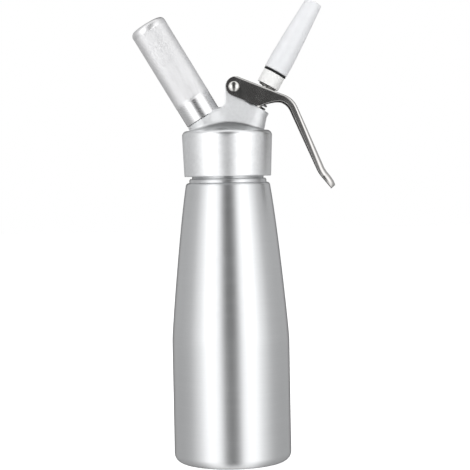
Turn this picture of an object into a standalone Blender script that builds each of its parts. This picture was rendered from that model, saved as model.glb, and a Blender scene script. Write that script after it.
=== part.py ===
# Whipped cream dispenser: a screw-topped aluminium bottle, a cast head with a
# gas charger holder and a lever valve, and a plastic decorating spout.
# Metres, +Z up. The origin is the middle of the bottle's base, +X points to the
# lever's side, and -Y is the front.

import math

import bmesh
import bpy
from mathutils import Matrix, Vector

# Gaps and overruns that all pieces share
CLEARANCE = 0.0003
OVERRUN = 0.004
THREAD_SINK = 0.0005

# Mating thread ridges lie this share of a pitch apart
MATE_SHARE = 0.5

# Faces that meet at more than this keep a sharp edge
SHARP_ANGLE = math.radians(35)

# Bottle
BASE_RADIUS = 0.0394
BASE_CORNER = 0.006
KNEE_HEIGHT = 0.082
SHOULDER_RADIUS = 0.0284
SHOULDER_HEIGHT = 0.1853
SHOULDER_ROUND = 0.0025
TAPER_EASE = 1.15
TAPER_MAIN_SHARE = 0.93
TAPER_POWER = 6
BOTTLE_WALL = 0.0016
BASE_THICKNESS = 0.0026
FOOT_GROOVE_INNER = 0.016
FOOT_GROOVE_OUTER = 0.028
FOOT_GROOVE_DEPTH = 0.0008
NECK_RADIUS = 0.024
NECK_BORE = 0.0205
NECK_LENGTH = 0.0204
NECK_CHAMFER = 0.0006
NECK_RING_STEP = 0.0011
NECK_RING_HEIGHT = 0.0019
NECK_RING_BEVEL = 0.0008

# Thread between bottle and head
HEAD_PITCH = 0.004
HEAD_TURNS = 2.25
HEAD_THREAD_HEIGHT = 0.0012
HEAD_THREAD_ROOT = 0.002
HEAD_THREAD_CREST = 0.001
HEAD_THREAD_DROP = 0.005

# Head gasket
GASKET_THICKNESS = 0.0024
GASKET_WIDTH = 0.0029

# Cast head, with heights above the ceiling that the gasket seats on
COLLAR_DROP = 0.022
COLLAR_TOP_RISE = 0.0052
COLLAR_TOP_RADIUS = 0.0302
COLLAR_BOTTOM_RADIUS = 0.0291
COLLAR_EDGE = 0.0006
COLLAR_MOUTH_CHAMFER = 0.0011
COLLAR_ROUND = 0.0034
DOME_RISE = 0.0145
DOME_FOOT_DROP = 0.0071
DOME_FOOT_RADIUS = 0.0262
DOME_SHARES = (0, 0.2, 0.45, 0.7, 1)
CHAMBER_RADIUS = 0.016
CHAMBER_WALL_HEIGHT = 0.003
CHAMBER_TOP_RADIUS = 0.012
CHAMBER_RISE = 0.0045

# Lever pin, and the lug that holds it
PIN_X = 0.0052
PIN_RISE = 0.0374
PIN_RADIUS = 0.0025
PIN_HEAD_RADIUS = 0.0036
PIN_HEAD_HEIGHT = 0.0016
PIN_CAP_BORE_DEPTH = 0.0009
PIN_DOME_SHARES = (0.3, 0.7, 0.92)
LUG_RADIUS = 0.006
LUG_INSET = 0.0002
LUG_FILLET = 0.004
LUG_FOOT_SINK = 0.005

# Lever, bent from sheet: distances run from the pin along its web
LEVER_SLOPE = math.radians(22.3)
WEB_RISE = 0.0071
SHEET = 0.0015
PLATE_DEPTH = 0.0131
PLATE_REACH = 0.0201
PLATE_END_RADIUS = 0.0066
PLATE_END_BACK = 0.0056
PLATE_GAP = 0.0006
SWEEP_LENGTH = 0.0135
SWEEP_POWER = 1.5
WEB_START = 0.0042
WEB_LIP = 0.0005
WEB_LENGTH = 0.03985
BEND_ANGLE = math.radians(44.4)
BEND_RADIUS = 0.015
HANDLE_LENGTH = 0.0518
HANDLE_DEPTH = 0.0046
HANDLE_HALF_WIDTH = 0.0075
HANDLE_TAPER = 0.022
FLARE_ANGLE = math.radians(-15.7)
FLARE_RADIUS = 0.018
FLARE_LENGTH = 0.0124
TIP_ROUND_LENGTH = 0.005
PLATE_CORNER = 0.002
HANDLE_CORNER = 0.0034
STEM_REACH = 0.0204
SLOT_BACK = 0.0016
SLOT_FRONT = 0.0004

# Valve, with its axis leaning towards the lever: heights run along it from the web
NOZZLE_LEAN = math.radians(30.0)
STEM_RADIUS = 0.0035
STEM_TOP_RADIUS = 0.0029
STEM_BORE = 0.0019
STEM_END_INSET = 0.0003
PORT_RADIUS = 0.0014
PORT_FROM_SEAT = 0.0035
NUT_CROWN_RADIUS = 0.0046
NUT_CROWN_DROP = 0.00055
NUT_THICKNESS = 0.002
NUT_RIM = 0.0002
SPRING_WIRE = 0.0014
SPRING_RADIUS = 0.0057
SPRING_LENGTH = 0.0087
SPRING_TURNS = 3
SPRING_END_PITCH = 0.00185
SPRING_END_TURNS = 0.5
SPRING_POINTS_PER_TURN = 10
GUIDE_FLANGE = 0.0008
GUIDE_FLANGE_WIDTH = 0.0016
GUIDE_LENGTH = 0.0085
O_RING_WIRE = 0.0015
VALVE_BORE = 0.005
VALVE_BORE_LENGTH = 0.0225
SEAL_THICKNESS = 0.002
PISTON_HEAD_RADIUS = 0.0066
PISTON_HEAD_THICKNESS = 0.0026
SEAT_POCKET_GAP = 0.0014
VALVE_BOSS_RADIUS = 0.0096
VALVE_BOSS_STRAIGHT = 0.003
VALVE_BOSS_LENGTH = 0.0155
VALVE_BOSS_FLARE = 0.0021
VALVE_BOSS_FLARE_LENGTH = 0.0065

# Decorating tip
ADAPTER_FLANGE_RADIUS = 0.006
ADAPTER_FLANGE = 0.0008
ADAPTER_RADIUS = 0.0052
ADAPTER_LENGTH = 0.0064
TIP_PITCH = 0.002
TIP_TURNS = 2.25
TIP_THREAD_HEIGHT = 0.0008
TIP_THREAD_ROOT = 0.0011
TIP_THREAD_CREST = 0.0005
TIP_THREAD_START = 0.0009
TIP_GASKET_THICKNESS = 0.001
TIP_BASE_WALL = 0.00135
TIP_BASE_LENGTH = 0.0092
TIP_BASE_CHAMFER = 0.0003
TIP_PASSAGE = 0.0032
SPIGOT_WALL = 0.0017
SPIGOT_LENGTH = 0.0058
BAND_THICKNESS = 0.0011
BAND_RADIUS = 0.0079
SPOUT_BASE_RADIUS = 0.0081
SPOUT_WAIST_RADIUS = 0.0075
SPOUT_END_RADIUS = 0.0058
SPOUT_BASE_LENGTH = 0.0095
SPOUT_WAIST_HEIGHT = 0.0245
SPOUT_LENGTH = 0.0528
SPOUT_END_ROUND = 0.0008
SPOUT_BORE = 0.0035
SPOUT_END_BORE = 0.0042

# Gas charger, its holder and the inlet: heights run along the holder from its mouth
MOUTH_X = -0.0155
MOUTH_RISE = 0.0172
HOLDER_LEAN = math.radians(-30.5)
CHARGER_RADIUS = 0.00905
CHARGER_NECK_RADIUS = 0.0043
CHARGER_NECK_LENGTH = 0.006
CHARGER_SHOULDER = 0.0074
CHARGER_LENGTH = 0.0655
CHARGER_END_LENGTH = 0.0081
CHARGER_END_SHARES = (0.45, 0.8, 0.96)
CHARGER_SHOULDER_SHARE = 0.75
CHARGER_WALL = 0.0016
PIERCED_RADIUS = 0.0014
LINER_WALL = 0.0012
LINER_START = 0.013
LINER_END_GAP = 0.0015
LINER_PLAY = 0.00035
HOLDER_WALL = 0.0016
HOLDER_END_THICKNESS = 0.0034
HOLDER_BAND_LENGTH = 0.0135
HOLDER_BAND_STEP = 0.00015
INLET_PITCH = 0.0025
INLET_TURNS = 2.5
INLET_THREAD_HEIGHT = 0.0008
INLET_THREAD_ROOT = 0.0014
INLET_THREAD_CREST = 0.0007
INLET_THREAD_START = 0.0022
STUD_LENGTH = 0.0092
STUD_FLOOR = 0.0022
STUD_NECK_PLAY = 0.0005
STUD_ROOT_RADIUS = 0.007
STUD_ROOT_LENGTH = 0.009
STUD_NOSE_RADIUS = 0.0026
STUD_NOSE_LENGTH = 0.0065
STUD_NOSE_BORE = 0.001
MOUTH_BOSS_INSET = 0.0003
MOUTH_BOSS_LENGTH = 0.014
MOUTH_STEP = 0.0003
CHARGER_SEAL_THICKNESS = 0.0013
PIN_BASE_RADIUS = 0.0016
PIN_BASE_LENGTH = 0.004
NEEDLE_RADIUS = 0.0009
NEEDLE_LENGTH = 0.0046
NEEDLE_POINT = 0.001
NEEDLE_BORE = 0.0004
SLEEVE_WALL = 0.0013
SLEEVE_POCKET_GAP = 0.001

# Sides of the turned pieces
BOTTLE_SIDES = 40
HOLDER_SIDES = 28
SMALL_SIDES = 20
TINY_SIDES = 12

# Heights that follow from the sizes above
NECK_START = SHOULDER_HEIGHT + SHOULDER_ROUND + NECK_RING_HEIGHT + NECK_RING_BEVEL
RIM_HEIGHT = NECK_START + NECK_LENGTH
CEILING = RIM_HEIGHT + GASKET_THICKNESS + 2 * CLEARANCE
HEAD_BORE = NECK_RADIUS + HEAD_THREAD_HEIGHT + CLEARANCE

REST_TILT = NOZZLE_LEAN - LEVER_SLOPE
HALF_WEB = SHEET / 2 / math.cos(REST_TILT)
NUT_TOP = -HALF_WEB - NUT_CROWN_RADIUS * math.tan(REST_TILT) - CLEARANCE
NUT_BOTTOM = NUT_TOP - NUT_THICKNESS
NUT_RADIUS = SPRING_RADIUS + SPRING_WIRE / 2 + NUT_RIM
SPRING_TOP = NUT_BOTTOM - CLEARANCE
BOSS_TOP = SPRING_TOP - SPRING_LENGTH - CLEARANCE
GUIDE_RADIUS = STEM_RADIUS + CLEARANCE + O_RING_WIRE
GUIDE_FLANGE_RADIUS = GUIDE_RADIUS + GUIDE_FLANGE_WIDTH
GLAND_RADIUS = GUIDE_RADIUS + CLEARANCE
GLAND_FLOOR = BOSS_TOP - GUIDE_LENGTH - O_RING_WIRE - 2 * CLEARANCE
SEAT = BOSS_TOP - VALVE_BORE_LENGTH
LUG_HALF = VALVE_BOSS_RADIUS - LUG_INSET
PLATE_INNER = VALVE_BOSS_RADIUS + PLATE_GAP
PLATE_OUTER = PLATE_INNER + SHEET

ADAPTER_BOTTOM = HALF_WEB + ADAPTER_FLANGE_RADIUS * math.tan(REST_TILT) + CLEARANCE
TIP_BOTTOM = ADAPTER_BOTTOM + ADAPTER_FLANGE + CLEARANCE
ADAPTER_TOP = TIP_BOTTOM + ADAPTER_LENGTH
TIP_CEILING = ADAPTER_TOP + TIP_GASKET_THICKNESS + 2 * CLEARANCE
TIP_BORE = ADAPTER_RADIUS + TIP_THREAD_HEIGHT + CLEARANCE
TIP_BASE_RADIUS = TIP_BORE + TIP_BASE_WALL
TIP_BASE_TOP = TIP_BOTTOM + TIP_BASE_LENGTH
SPIGOT_RADIUS = TIP_PASSAGE + SPIGOT_WALL
SPIGOT_TOP = TIP_BASE_TOP + SPIGOT_LENGTH
BAND_BOTTOM = TIP_BASE_TOP + CLEARANCE
SPOUT_BOTTOM = BAND_BOTTOM + BAND_THICKNESS + CLEARANCE

LINER_BORE = CHARGER_RADIUS + LINER_PLAY
LINER_RADIUS = LINER_BORE + LINER_WALL
HOLDER_BORE = LINER_RADIUS + CLEARANCE
HOLDER_RADIUS = HOLDER_BORE + HOLDER_WALL
STUD_CREST = HOLDER_BORE - CLEARANCE
STUD_RADIUS = STUD_CREST - INLET_THREAD_HEIGHT
STUD_BORE = CHARGER_NECK_RADIUS + STUD_NECK_PLAY
SEAL_BOTTOM = STUD_FLOOR + CLEARANCE
CHARGER_START = SEAL_BOTTOM + CHARGER_SEAL_THICKNESS + CLEARANCE
CHARGER_END = CHARGER_START + CHARGER_LENGTH
LINER_END = CHARGER_END - CHARGER_END_LENGTH - LINER_END_GAP
HOLDER_FLOOR = CHARGER_END + CLEARANCE
HOLDER_END = HOLDER_FLOOR + HOLDER_END_THICKNESS
MOUTH_BOSS_RADIUS = HOLDER_RADIUS - MOUTH_BOSS_INSET

# Places of the four working axes
HEAD_ORIGIN = Vector((0, 0, CEILING))
PIN_POINT = Vector((PIN_X, 0, CEILING + PIN_RISE))
MOUTH_POINT = Vector((MOUTH_X, 0, CEILING + MOUTH_RISE))
WEB_ALONG = Vector((math.cos(LEVER_SLOPE), 0, -math.sin(LEVER_SLOPE)))
WEB_UP = Vector((math.sin(LEVER_SLOPE), 0, math.cos(LEVER_SLOPE)))
STEM_POINT = PIN_POINT + STEM_REACH * WEB_ALONG + (WEB_RISE - SHEET / 2) * WEB_UP


# Scene and materials

def clear_scene():
    for thing in list(bpy.data.objects):
        bpy.data.objects.remove(thing, do_unlink=True)


def finish(name, colour, roughness, metallic):
    material = bpy.data.materials.get(name)
    if material:
        return material
    material = bpy.data.materials.new(name)
    material.use_nodes = True
    shader = material.node_tree.nodes["Principled BSDF"]
    shader.inputs["Base Color"].default_value = (*colour, 1)
    shader.inputs["Roughness"].default_value = roughness
    shader.inputs["Metallic"].default_value = metallic
    material.diffuse_color = (*colour, 1)
    return material


def brushed_aluminium():
    return finish("brushed_aluminium", (0.74, 0.75, 0.76), 0.32, 1.0)


def cast_aluminium():
    return finish("cast_aluminium", (0.72, 0.73, 0.74), 0.42, 1.0)


def polished_steel():
    return finish("polished_steel", (0.56, 0.56, 0.57), 0.12, 1.0)


def spring_steel():
    return finish("spring_steel", (0.45, 0.45, 0.46), 0.25, 1.0)


def charger_steel():
    return finish("charger_steel", (0.6, 0.6, 0.61), 0.3, 1.0)


def white_plastic():
    return finish("white_plastic", (0.88, 0.89, 0.9), 0.35, 0.0)


def grey_plastic():
    return finish("grey_plastic", (0.4, 0.41, 0.42), 0.5, 0.0)


def black_rubber():
    return finish("black_rubber", (0.02, 0.02, 0.02), 0.6, 0.0)


def silicone():
    return finish("silicone", (0.65, 0.2, 0.16), 0.5, 0.0)


# Building blocks

def axis_empty(name, place, lean=0.0):
    empty = bpy.data.objects.new(name, None)
    empty.location = place
    empty.rotation_euler = (0, lean, 0)
    empty.empty_display_size = CLEARANCE
    bpy.context.scene.collection.objects.link(empty)
    return empty


def add_object(name, mesh, material, axis):
    thing = bpy.data.objects.new(name, mesh)
    bpy.context.scene.collection.objects.link(thing)
    thing.parent = axis
    if material:
        thing.data.materials.append(material)
        mesh.shade_smooth()
        mesh.set_sharp_from_angle(angle=SHARP_ANGLE)
    else:
        thing.hide_render = True
        thing.display_type = "WIRE"
    return thing


def mesh_from(name, shape):
    bmesh.ops.recalc_face_normals(shape, faces=shape.faces[:])
    mesh = bpy.data.meshes.new(name)
    shape.to_mesh(mesh)
    shape.free()
    return mesh


def turned(name, outline, sides, axis, material=None, phase=0.0):
    """A closed outline of (radius, height) points, spun about the axis."""
    shape = bmesh.new()
    start = Matrix.Rotation(phase, 3, "Z")
    ring = [shape.verts.new(start @ Vector((radius, 0, height))) for radius, height in outline]
    edges = []
    for this, after in zip(ring, ring[1:] + ring[:1]):
        on_axis = max(this.co.xy.length, after.co.xy.length) == 0
        if not on_axis:
            edges.append(shape.edges.new((this, after)))
    bmesh.ops.spin(
        shape,
        geom=ring + edges,
        cent=(0, 0, 0),
        axis=(0, 0, 1),
        dvec=(0, 0, 0),
        angle=math.tau,
        steps=sides,
        use_merge=True,
        use_duplicate=False,
    )
    on_axis = [vert for vert in shape.verts if vert.co.xy.length < CLEARANCE / sides]
    bmesh.ops.remove_doubles(shape, verts=on_axis, dist=CLEARANCE / sides)
    return add_object(name, mesh_from(name, shape), material, axis)


def arc(centre, radius, start, end, steps):
    """Points of a round stretch, with angles in degrees from the outward direction."""
    points = []
    for step in range(steps + 1):
        angle = math.radians(start + (end - start) * step / steps)
        points.append((centre[0] + radius * math.cos(angle), centre[1] + radius * math.sin(angle)))
    return points


def tube_outline(inner, outer, bottom, top):
    return [(inner, bottom), (outer, bottom), (outer, top), (inner, top)]


def ridge(name, wall, crest, first, turns, pitch, root_width, crest_width, sides, axis):
    """A helical thread ridge, right-handed, whose root is sunk into its wall."""
    outwards = 1 if crest > wall else -1
    sunk = wall - outwards * THREAD_SINK
    widened = root_width + (root_width - crest_width) * THREAD_SINK / abs(crest - wall)
    section = (
        (sunk, -widened / 2),
        (crest, -crest_width / 2),
        (crest, crest_width / 2),
        (sunk, widened / 2),
    )
    shape = bmesh.new()
    rows = []
    for step in range(round(turns * sides) + 1):
        angle = math.tau * (step + 0.5) / sides
        height = first + pitch * step / sides
        row = []
        for radius, rise in section:
            point = Vector((radius * math.cos(angle), radius * math.sin(angle), height + rise))
            row.append(shape.verts.new(point))
        rows.append(row)
    for low, high in zip(rows, rows[1:]):
        for place in range(4):
            after = (place + 1) % 4
            shape.faces.new((low[place], low[after], high[after], high[place]))
    shape.faces.new(rows[0])
    shape.faces.new(rows[-1])
    return add_object(name, mesh_from(name, shape), None, axis)


def prism(name, outline, half_width, axis):
    """An outline of (x, z) points with straight sides across the object."""
    shape = bmesh.new()
    front = [shape.verts.new((x, -half_width, z)) for x, z in outline]
    back = [shape.verts.new((x, half_width, z)) for x, z in outline]
    shape.faces.new(front)
    shape.faces.new(back)
    for place in range(len(outline)):
        after = (place + 1) % len(outline)
        shape.faces.new((front[place], front[after], back[after], back[place]))
    return add_object(name, mesh_from(name, shape), None, axis)


def boolean(target, other, operation):
    modifier = target.modifiers.new(other.name, "BOOLEAN")
    modifier.operation = operation
    modifier.solver = "EXACT"
    modifier.object = other


def cut(target, *others):
    for other in others:
        boolean(target, other, "DIFFERENCE")


def join(target, *others):
    for other in others:
        boolean(target, other, "UNION")


# Bottle

def side_radius(height):
    """The bottle's outer radius at a height between its corner and its shoulder."""
    if height <= KNEE_HEIGHT:
        return BASE_RADIUS
    share = (height - KNEE_HEIGHT) / (SHOULDER_HEIGHT - KNEE_HEIGHT)
    fall = TAPER_MAIN_SHARE * share ** TAPER_EASE
    fall += (1 - TAPER_MAIN_SHARE) * share ** TAPER_POWER
    return BASE_RADIUS - (BASE_RADIUS - SHOULDER_RADIUS) * fall


def heights_between(low, high, steps):
    return [low + (high - low) * step / steps for step in range(steps + 1)]


def bottle(axis):
    groove_inner = FOOT_GROOVE_INNER
    groove_outer = FOOT_GROOVE_OUTER
    groove = FOOT_GROOVE_DEPTH
    ring_radius = NECK_RADIUS + NECK_RING_STEP + NECK_RING_BEVEL
    outline = [(0, 0), (groove_inner, 0), (groove_inner + groove, groove)]
    outline += [(groove_outer - groove, groove), (groove_outer, 0)]
    corner = (BASE_RADIUS - BASE_CORNER, BASE_CORNER)
    outline += arc(corner, BASE_CORNER, -90, 0, 4)
    outline += [(side_radius(h), h) for h in heights_between(KNEE_HEIGHT, SHOULDER_HEIGHT, 9)]
    shoulder = (SHOULDER_RADIUS - SHOULDER_ROUND, SHOULDER_HEIGHT)
    outline += arc(shoulder, SHOULDER_ROUND, 20, 75, 2)
    ring_bottom = SHOULDER_HEIGHT + SHOULDER_ROUND
    outline += [(ring_radius, ring_bottom), (ring_radius, ring_bottom + NECK_RING_HEIGHT)]
    outline += [(ring_radius - NECK_RING_BEVEL, NECK_START), (NECK_RADIUS, NECK_START)]
    outline += [(NECK_RADIUS, RIM_HEIGHT - NECK_CHAMFER), (NECK_RADIUS - NECK_CHAMFER, RIM_HEIGHT)]
    outline += [(NECK_BORE + NECK_CHAMFER, RIM_HEIGHT), (NECK_BORE, RIM_HEIGHT - NECK_CHAMFER)]
    outline += [(NECK_BORE, NECK_START - NECK_RING_HEIGHT)]
    inside = heights_between(KNEE_HEIGHT, SHOULDER_HEIGHT - SHOULDER_ROUND, 4)
    outline += [(side_radius(h) - BOTTLE_WALL, h) for h in reversed(inside)]
    corner = (BASE_RADIUS - BASE_CORNER, BASE_THICKNESS + BASE_CORNER - BOTTLE_WALL)
    outline += arc(corner, BASE_CORNER - BOTTLE_WALL, 0, -90, 2)
    outline += [(0, BASE_THICKNESS)]
    body = turned("bottle", outline, BOTTLE_SIDES, axis, brushed_aluminium())
    thread = ridge(
        "bottle_thread",
        NECK_RADIUS,
        NECK_RADIUS + HEAD_THREAD_HEIGHT,
        RIM_HEIGHT - HEAD_THREAD_DROP - HEAD_PITCH * HEAD_TURNS,
        HEAD_TURNS,
        HEAD_PITCH,
        HEAD_THREAD_ROOT,
        HEAD_THREAD_CREST,
        BOTTLE_SIDES,
        axis,
    )
    join(body, thread)


def head_gasket(axis):
    middle = (NECK_RADIUS + NECK_BORE) / 2
    bottom = RIM_HEIGHT + CLEARANCE
    inner = middle - GASKET_WIDTH / 2
    outer = middle + GASKET_WIDTH / 2
    outline = tube_outline(inner, outer, bottom, bottom + GASKET_THICKNESS)
    turned("head_gasket", outline, BOTTLE_SIDES, axis, silicone())


# Cast head

def head_body(axis):
    """The collar and its dome, still solid, with heights from the ceiling."""
    bottom = -COLLAR_DROP
    top = COLLAR_TOP_RISE
    outline = [(0, bottom), (COLLAR_BOTTOM_RADIUS - COLLAR_EDGE, bottom)]
    outline += [(COLLAR_BOTTOM_RADIUS, bottom + COLLAR_EDGE)]
    outline += arc((COLLAR_TOP_RADIUS - COLLAR_ROUND, top), COLLAR_ROUND, 0, 80, 4)
    foot = DOME_RISE - DOME_FOOT_DROP
    for share in DOME_SHARES:
        radius = DOME_FOOT_RADIUS * (1 - share)
        outline.append((radius, foot + DOME_FOOT_DROP * (1 - (1 - share) ** 2)))
    return turned("head", outline, BOTTLE_SIDES, axis, cast_aluminium())


def lug_outline():
    """The plate that carries the pin, from the holder's mouth round to the valve boss."""
    lean = -HOLDER_LEAN
    across = Vector((math.cos(lean), 0, math.sin(lean)))
    outwards = Vector((-math.sin(lean), 0, math.cos(lean)))
    valve_up = Vector((math.sin(NOZZLE_LEAN), 0, math.cos(NOZZLE_LEAN)))
    valve_across = Vector((math.cos(NOZZLE_LEAN), 0, -math.sin(NOZZLE_LEAN)))
    left = PIN_X - LUG_RADIUS
    foot = CEILING + DOME_RISE - LUG_FOOT_SINK
    inside_mouth = MOUTH_POINT + across * MOUTH_BOSS_RADIUS / 2 - outwards * MOUTH_STEP
    reach = (left - inside_mouth.x) / across.x
    corner = inside_mouth + across * reach
    turn = math.pi / 2 - lean
    tangent = LUG_FILLET * math.tan(turn / 2)
    centre = (left - LUG_FILLET, corner.z + tangent)
    points = [(inside_mouth.x, inside_mouth.z)]
    points += arc(centre, LUG_FILLET, -math.degrees(turn), 0, 4)
    points += arc((PIN_X, PIN_POINT.z), LUG_RADIUS, 180, 0, 12)
    boss_middle = STEM_POINT + valve_up * (BOSS_TOP - LUG_INSET)
    boss_edge = boss_middle - valve_across * (VALVE_BOSS_RADIUS - LUG_INSET)
    points.append((PIN_X + LUG_RADIUS, boss_edge.z + 2 * (boss_edge.x - PIN_X - LUG_RADIUS)))
    points.append((boss_edge.x, boss_edge.z))
    on_axis = STEM_POINT + valve_up * (BOSS_TOP - SHEET)
    points.append((on_axis.x, on_axis.z))
    points.append((on_axis.x - (on_axis.z - foot) * math.tan(NOZZLE_LEAN), foot))
    points.append((inside_mouth.x, foot))
    return points


def valve_boss(axis):
    low = BOSS_TOP - VALVE_BOSS_LENGTH
    straight = BOSS_TOP - VALVE_BOSS_STRAIGHT
    flared = VALVE_BOSS_RADIUS + VALVE_BOSS_FLARE
    outline = [(0, low), (flared, low), (flared, straight - VALVE_BOSS_FLARE_LENGTH)]
    outline += [(VALVE_BOSS_RADIUS, straight), (VALVE_BOSS_RADIUS, BOSS_TOP - COLLAR_EDGE)]
    outline += [(VALVE_BOSS_RADIUS - COLLAR_EDGE, BOSS_TOP), (0, BOSS_TOP)]
    return turned("valve_boss", outline, HOLDER_SIDES, axis)


def mouth_boss(axis):
    outline = [(0, -MOUTH_BOSS_LENGTH), (MOUTH_BOSS_RADIUS, -MOUTH_BOSS_LENGTH)]
    outline += [(MOUTH_BOSS_RADIUS, 0), (0, 0)]
    return turned("mouth_boss", outline, HOLDER_SIDES, axis)


def head_cavity(axis):
    bottom = -COLLAR_DROP
    mouth = HEAD_BORE + COLLAR_MOUTH_CHAMFER
    outline = [(0, bottom - OVERRUN), (mouth, bottom - OVERRUN), (mouth, bottom + COLLAR_EDGE)]
    outline += [(HEAD_BORE, bottom + COLLAR_EDGE + COLLAR_MOUTH_CHAMFER), (HEAD_BORE, 0)]
    outline += [(CHAMBER_RADIUS, 0), (CHAMBER_RADIUS, CHAMBER_WALL_HEIGHT)]
    outline += [(CHAMBER_TOP_RADIUS, CHAMBER_RISE), (0, CHAMBER_RISE)]
    return turned("head_cavity", outline, BOTTLE_SIDES, axis)


def valve_bore_cutter(axis):
    pocket = PISTON_HEAD_RADIUS + SEAT_POCKET_GAP
    seat_top = BOSS_TOP - GUIDE_FLANGE - CLEARANCE
    recess = GUIDE_FLANGE_RADIUS + CLEARANCE
    deep = SEAT - SEAL_THICKNESS - PISTON_HEAD_THICKNESS - 2 * OVERRUN
    outline = [(0, BOSS_TOP + OVERRUN), (recess, BOSS_TOP + OVERRUN), (recess, seat_top)]
    outline += [(GLAND_RADIUS, seat_top), (GLAND_RADIUS, GLAND_FLOOR)]
    outline += [(VALVE_BORE, GLAND_FLOOR), (VALVE_BORE, SEAT), (pocket, SEAT)]
    outline += [(pocket, deep), (0, deep)]
    return turned("valve_bore_cutter", outline, HOLDER_SIDES, axis, phase=math.pi / HOLDER_SIDES)


def mouth_bore_cutter(axis):
    bore = STUD_ROOT_RADIUS + CLEARANCE
    pocket = STUD_NOSE_RADIUS + SLEEVE_WALL + SLEEVE_POCKET_GAP + CLEARANCE
    step = -STUD_ROOT_LENGTH - CLEARANCE
    deep = step - STUD_NOSE_LENGTH - OVERRUN
    outline = [(0, OVERRUN), (bore, OVERRUN), (bore, step)]
    outline += [(pocket, step), (pocket, deep), (0, deep)]
    return turned("mouth_bore_cutter", outline, SMALL_SIDES, axis, phase=math.pi / SMALL_SIDES)


def pin_hole_cutter(axis, name):
    """A bore across the lever and the lug, with the pin's running gap."""
    reach = PLATE_OUTER + OVERRUN
    radius = PIN_RADIUS + CLEARANCE
    outline = [(0, -reach), (radius, -reach), (radius, reach), (0, reach)]
    cutter = turned(name, outline, SMALL_SIDES, axis)
    cutter.rotation_euler = (math.pi / 2, 0, 0)
    return cutter


def head(axes):
    casting = head_body(axes["head"])
    lug = prism("lug", lug_outline(), LUG_HALF, axes["bottle"])
    join(casting, lug, mouth_boss(axes["holder"]), valve_boss(axes["valve"]))
    cut(casting, head_cavity(axes["head"]))
    thread = ridge(
        "head_thread",
        HEAD_BORE,
        NECK_RADIUS + CLEARANCE,
        RIM_HEIGHT - CEILING - HEAD_THREAD_DROP - HEAD_PITCH * (HEAD_TURNS + MATE_SHARE),
        HEAD_TURNS,
        HEAD_PITCH,
        HEAD_THREAD_ROOT,
        HEAD_THREAD_CREST,
        BOTTLE_SIDES,
        axes["head"],
    )
    join(casting, thread)
    pin_hole = pin_hole_cutter(axes["lever"], "lug_pin_hole")
    cut(casting, valve_bore_cutter(axes["valve"]), mouth_bore_cutter(axes["holder"]), pin_hole)


# Lever and its pin

def lever_path():
    """Stations along the outer face of the lever: place, direction and distance."""
    stations = []
    place = Vector((-PLATE_END_BACK - OVERRUN, 0, WEB_RISE))
    heading = 0.0
    travelled = place.x

    def go(distance, steps):
        nonlocal place, travelled
        for _ in range(steps):
            place = place + Vector((math.cos(heading), 0, -math.sin(heading))) * distance / steps
            travelled += distance / steps
            stations.append((place.copy(), heading, travelled))

    def bend(angle, radius, steps):
        nonlocal place, heading, travelled
        turn = angle / steps
        chord = 2 * radius * math.sin(abs(turn) / 2)
        for _ in range(steps):
            heading += turn / 2
            place = place + Vector((math.cos(heading), 0, -math.sin(heading))) * chord
            heading += turn / 2
            travelled += radius * abs(turn)
            stations.append((place.copy(), heading, travelled))

    stations.append((place.copy(), heading, travelled))
    bend_tangent = BEND_RADIUS * math.tan(BEND_ANGLE / 2)
    flare_tangent = FLARE_RADIUS * math.tan(abs(FLARE_ANGLE) / 2)
    go(PLATE_REACH - place.x, 1)
    go(SWEEP_LENGTH, 6)
    go(WEB_LENGTH - bend_tangent - PLATE_REACH - SWEEP_LENGTH, 1)
    bend(BEND_ANGLE, BEND_RADIUS, 6)
    go(HANDLE_LENGTH - bend_tangent - flare_tangent, 4)
    bend(FLARE_ANGLE, FLARE_RADIUS, 3)
    go(FLARE_LENGTH - flare_tangent - TIP_ROUND_LENGTH, 1)
    go(TIP_ROUND_LENGTH, 4)
    return stations


def flange_depth(travelled):
    share = min(max((travelled - PLATE_REACH) / SWEEP_LENGTH, 0), 1)
    return HANDLE_DEPTH + (PLATE_DEPTH - HANDLE_DEPTH) * (1 - share) ** SWEEP_POWER


def channel_section(half_width, depth, corner):
    """A channel cross-section as (across, down) points, down being negative."""
    left_outer = arc((-half_width + corner, -corner), corner, 180, 90, 3)
    right_outer = arc((half_width - corner, -corner), corner, 90, 0, 3)
    inner = corner - SHEET
    right_inner = arc((half_width - corner, -corner), inner, 0, 90, 3)
    left_inner = arc((-half_width + corner, -corner), inner, 90, 180, 3)
    points = [(-half_width, -depth)] + left_outer + right_outer + [(half_width, -depth)]
    points += [(half_width - SHEET, -depth)] + right_inner
    points += left_inner + [(-half_width + SHEET, -depth)]
    return points


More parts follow.
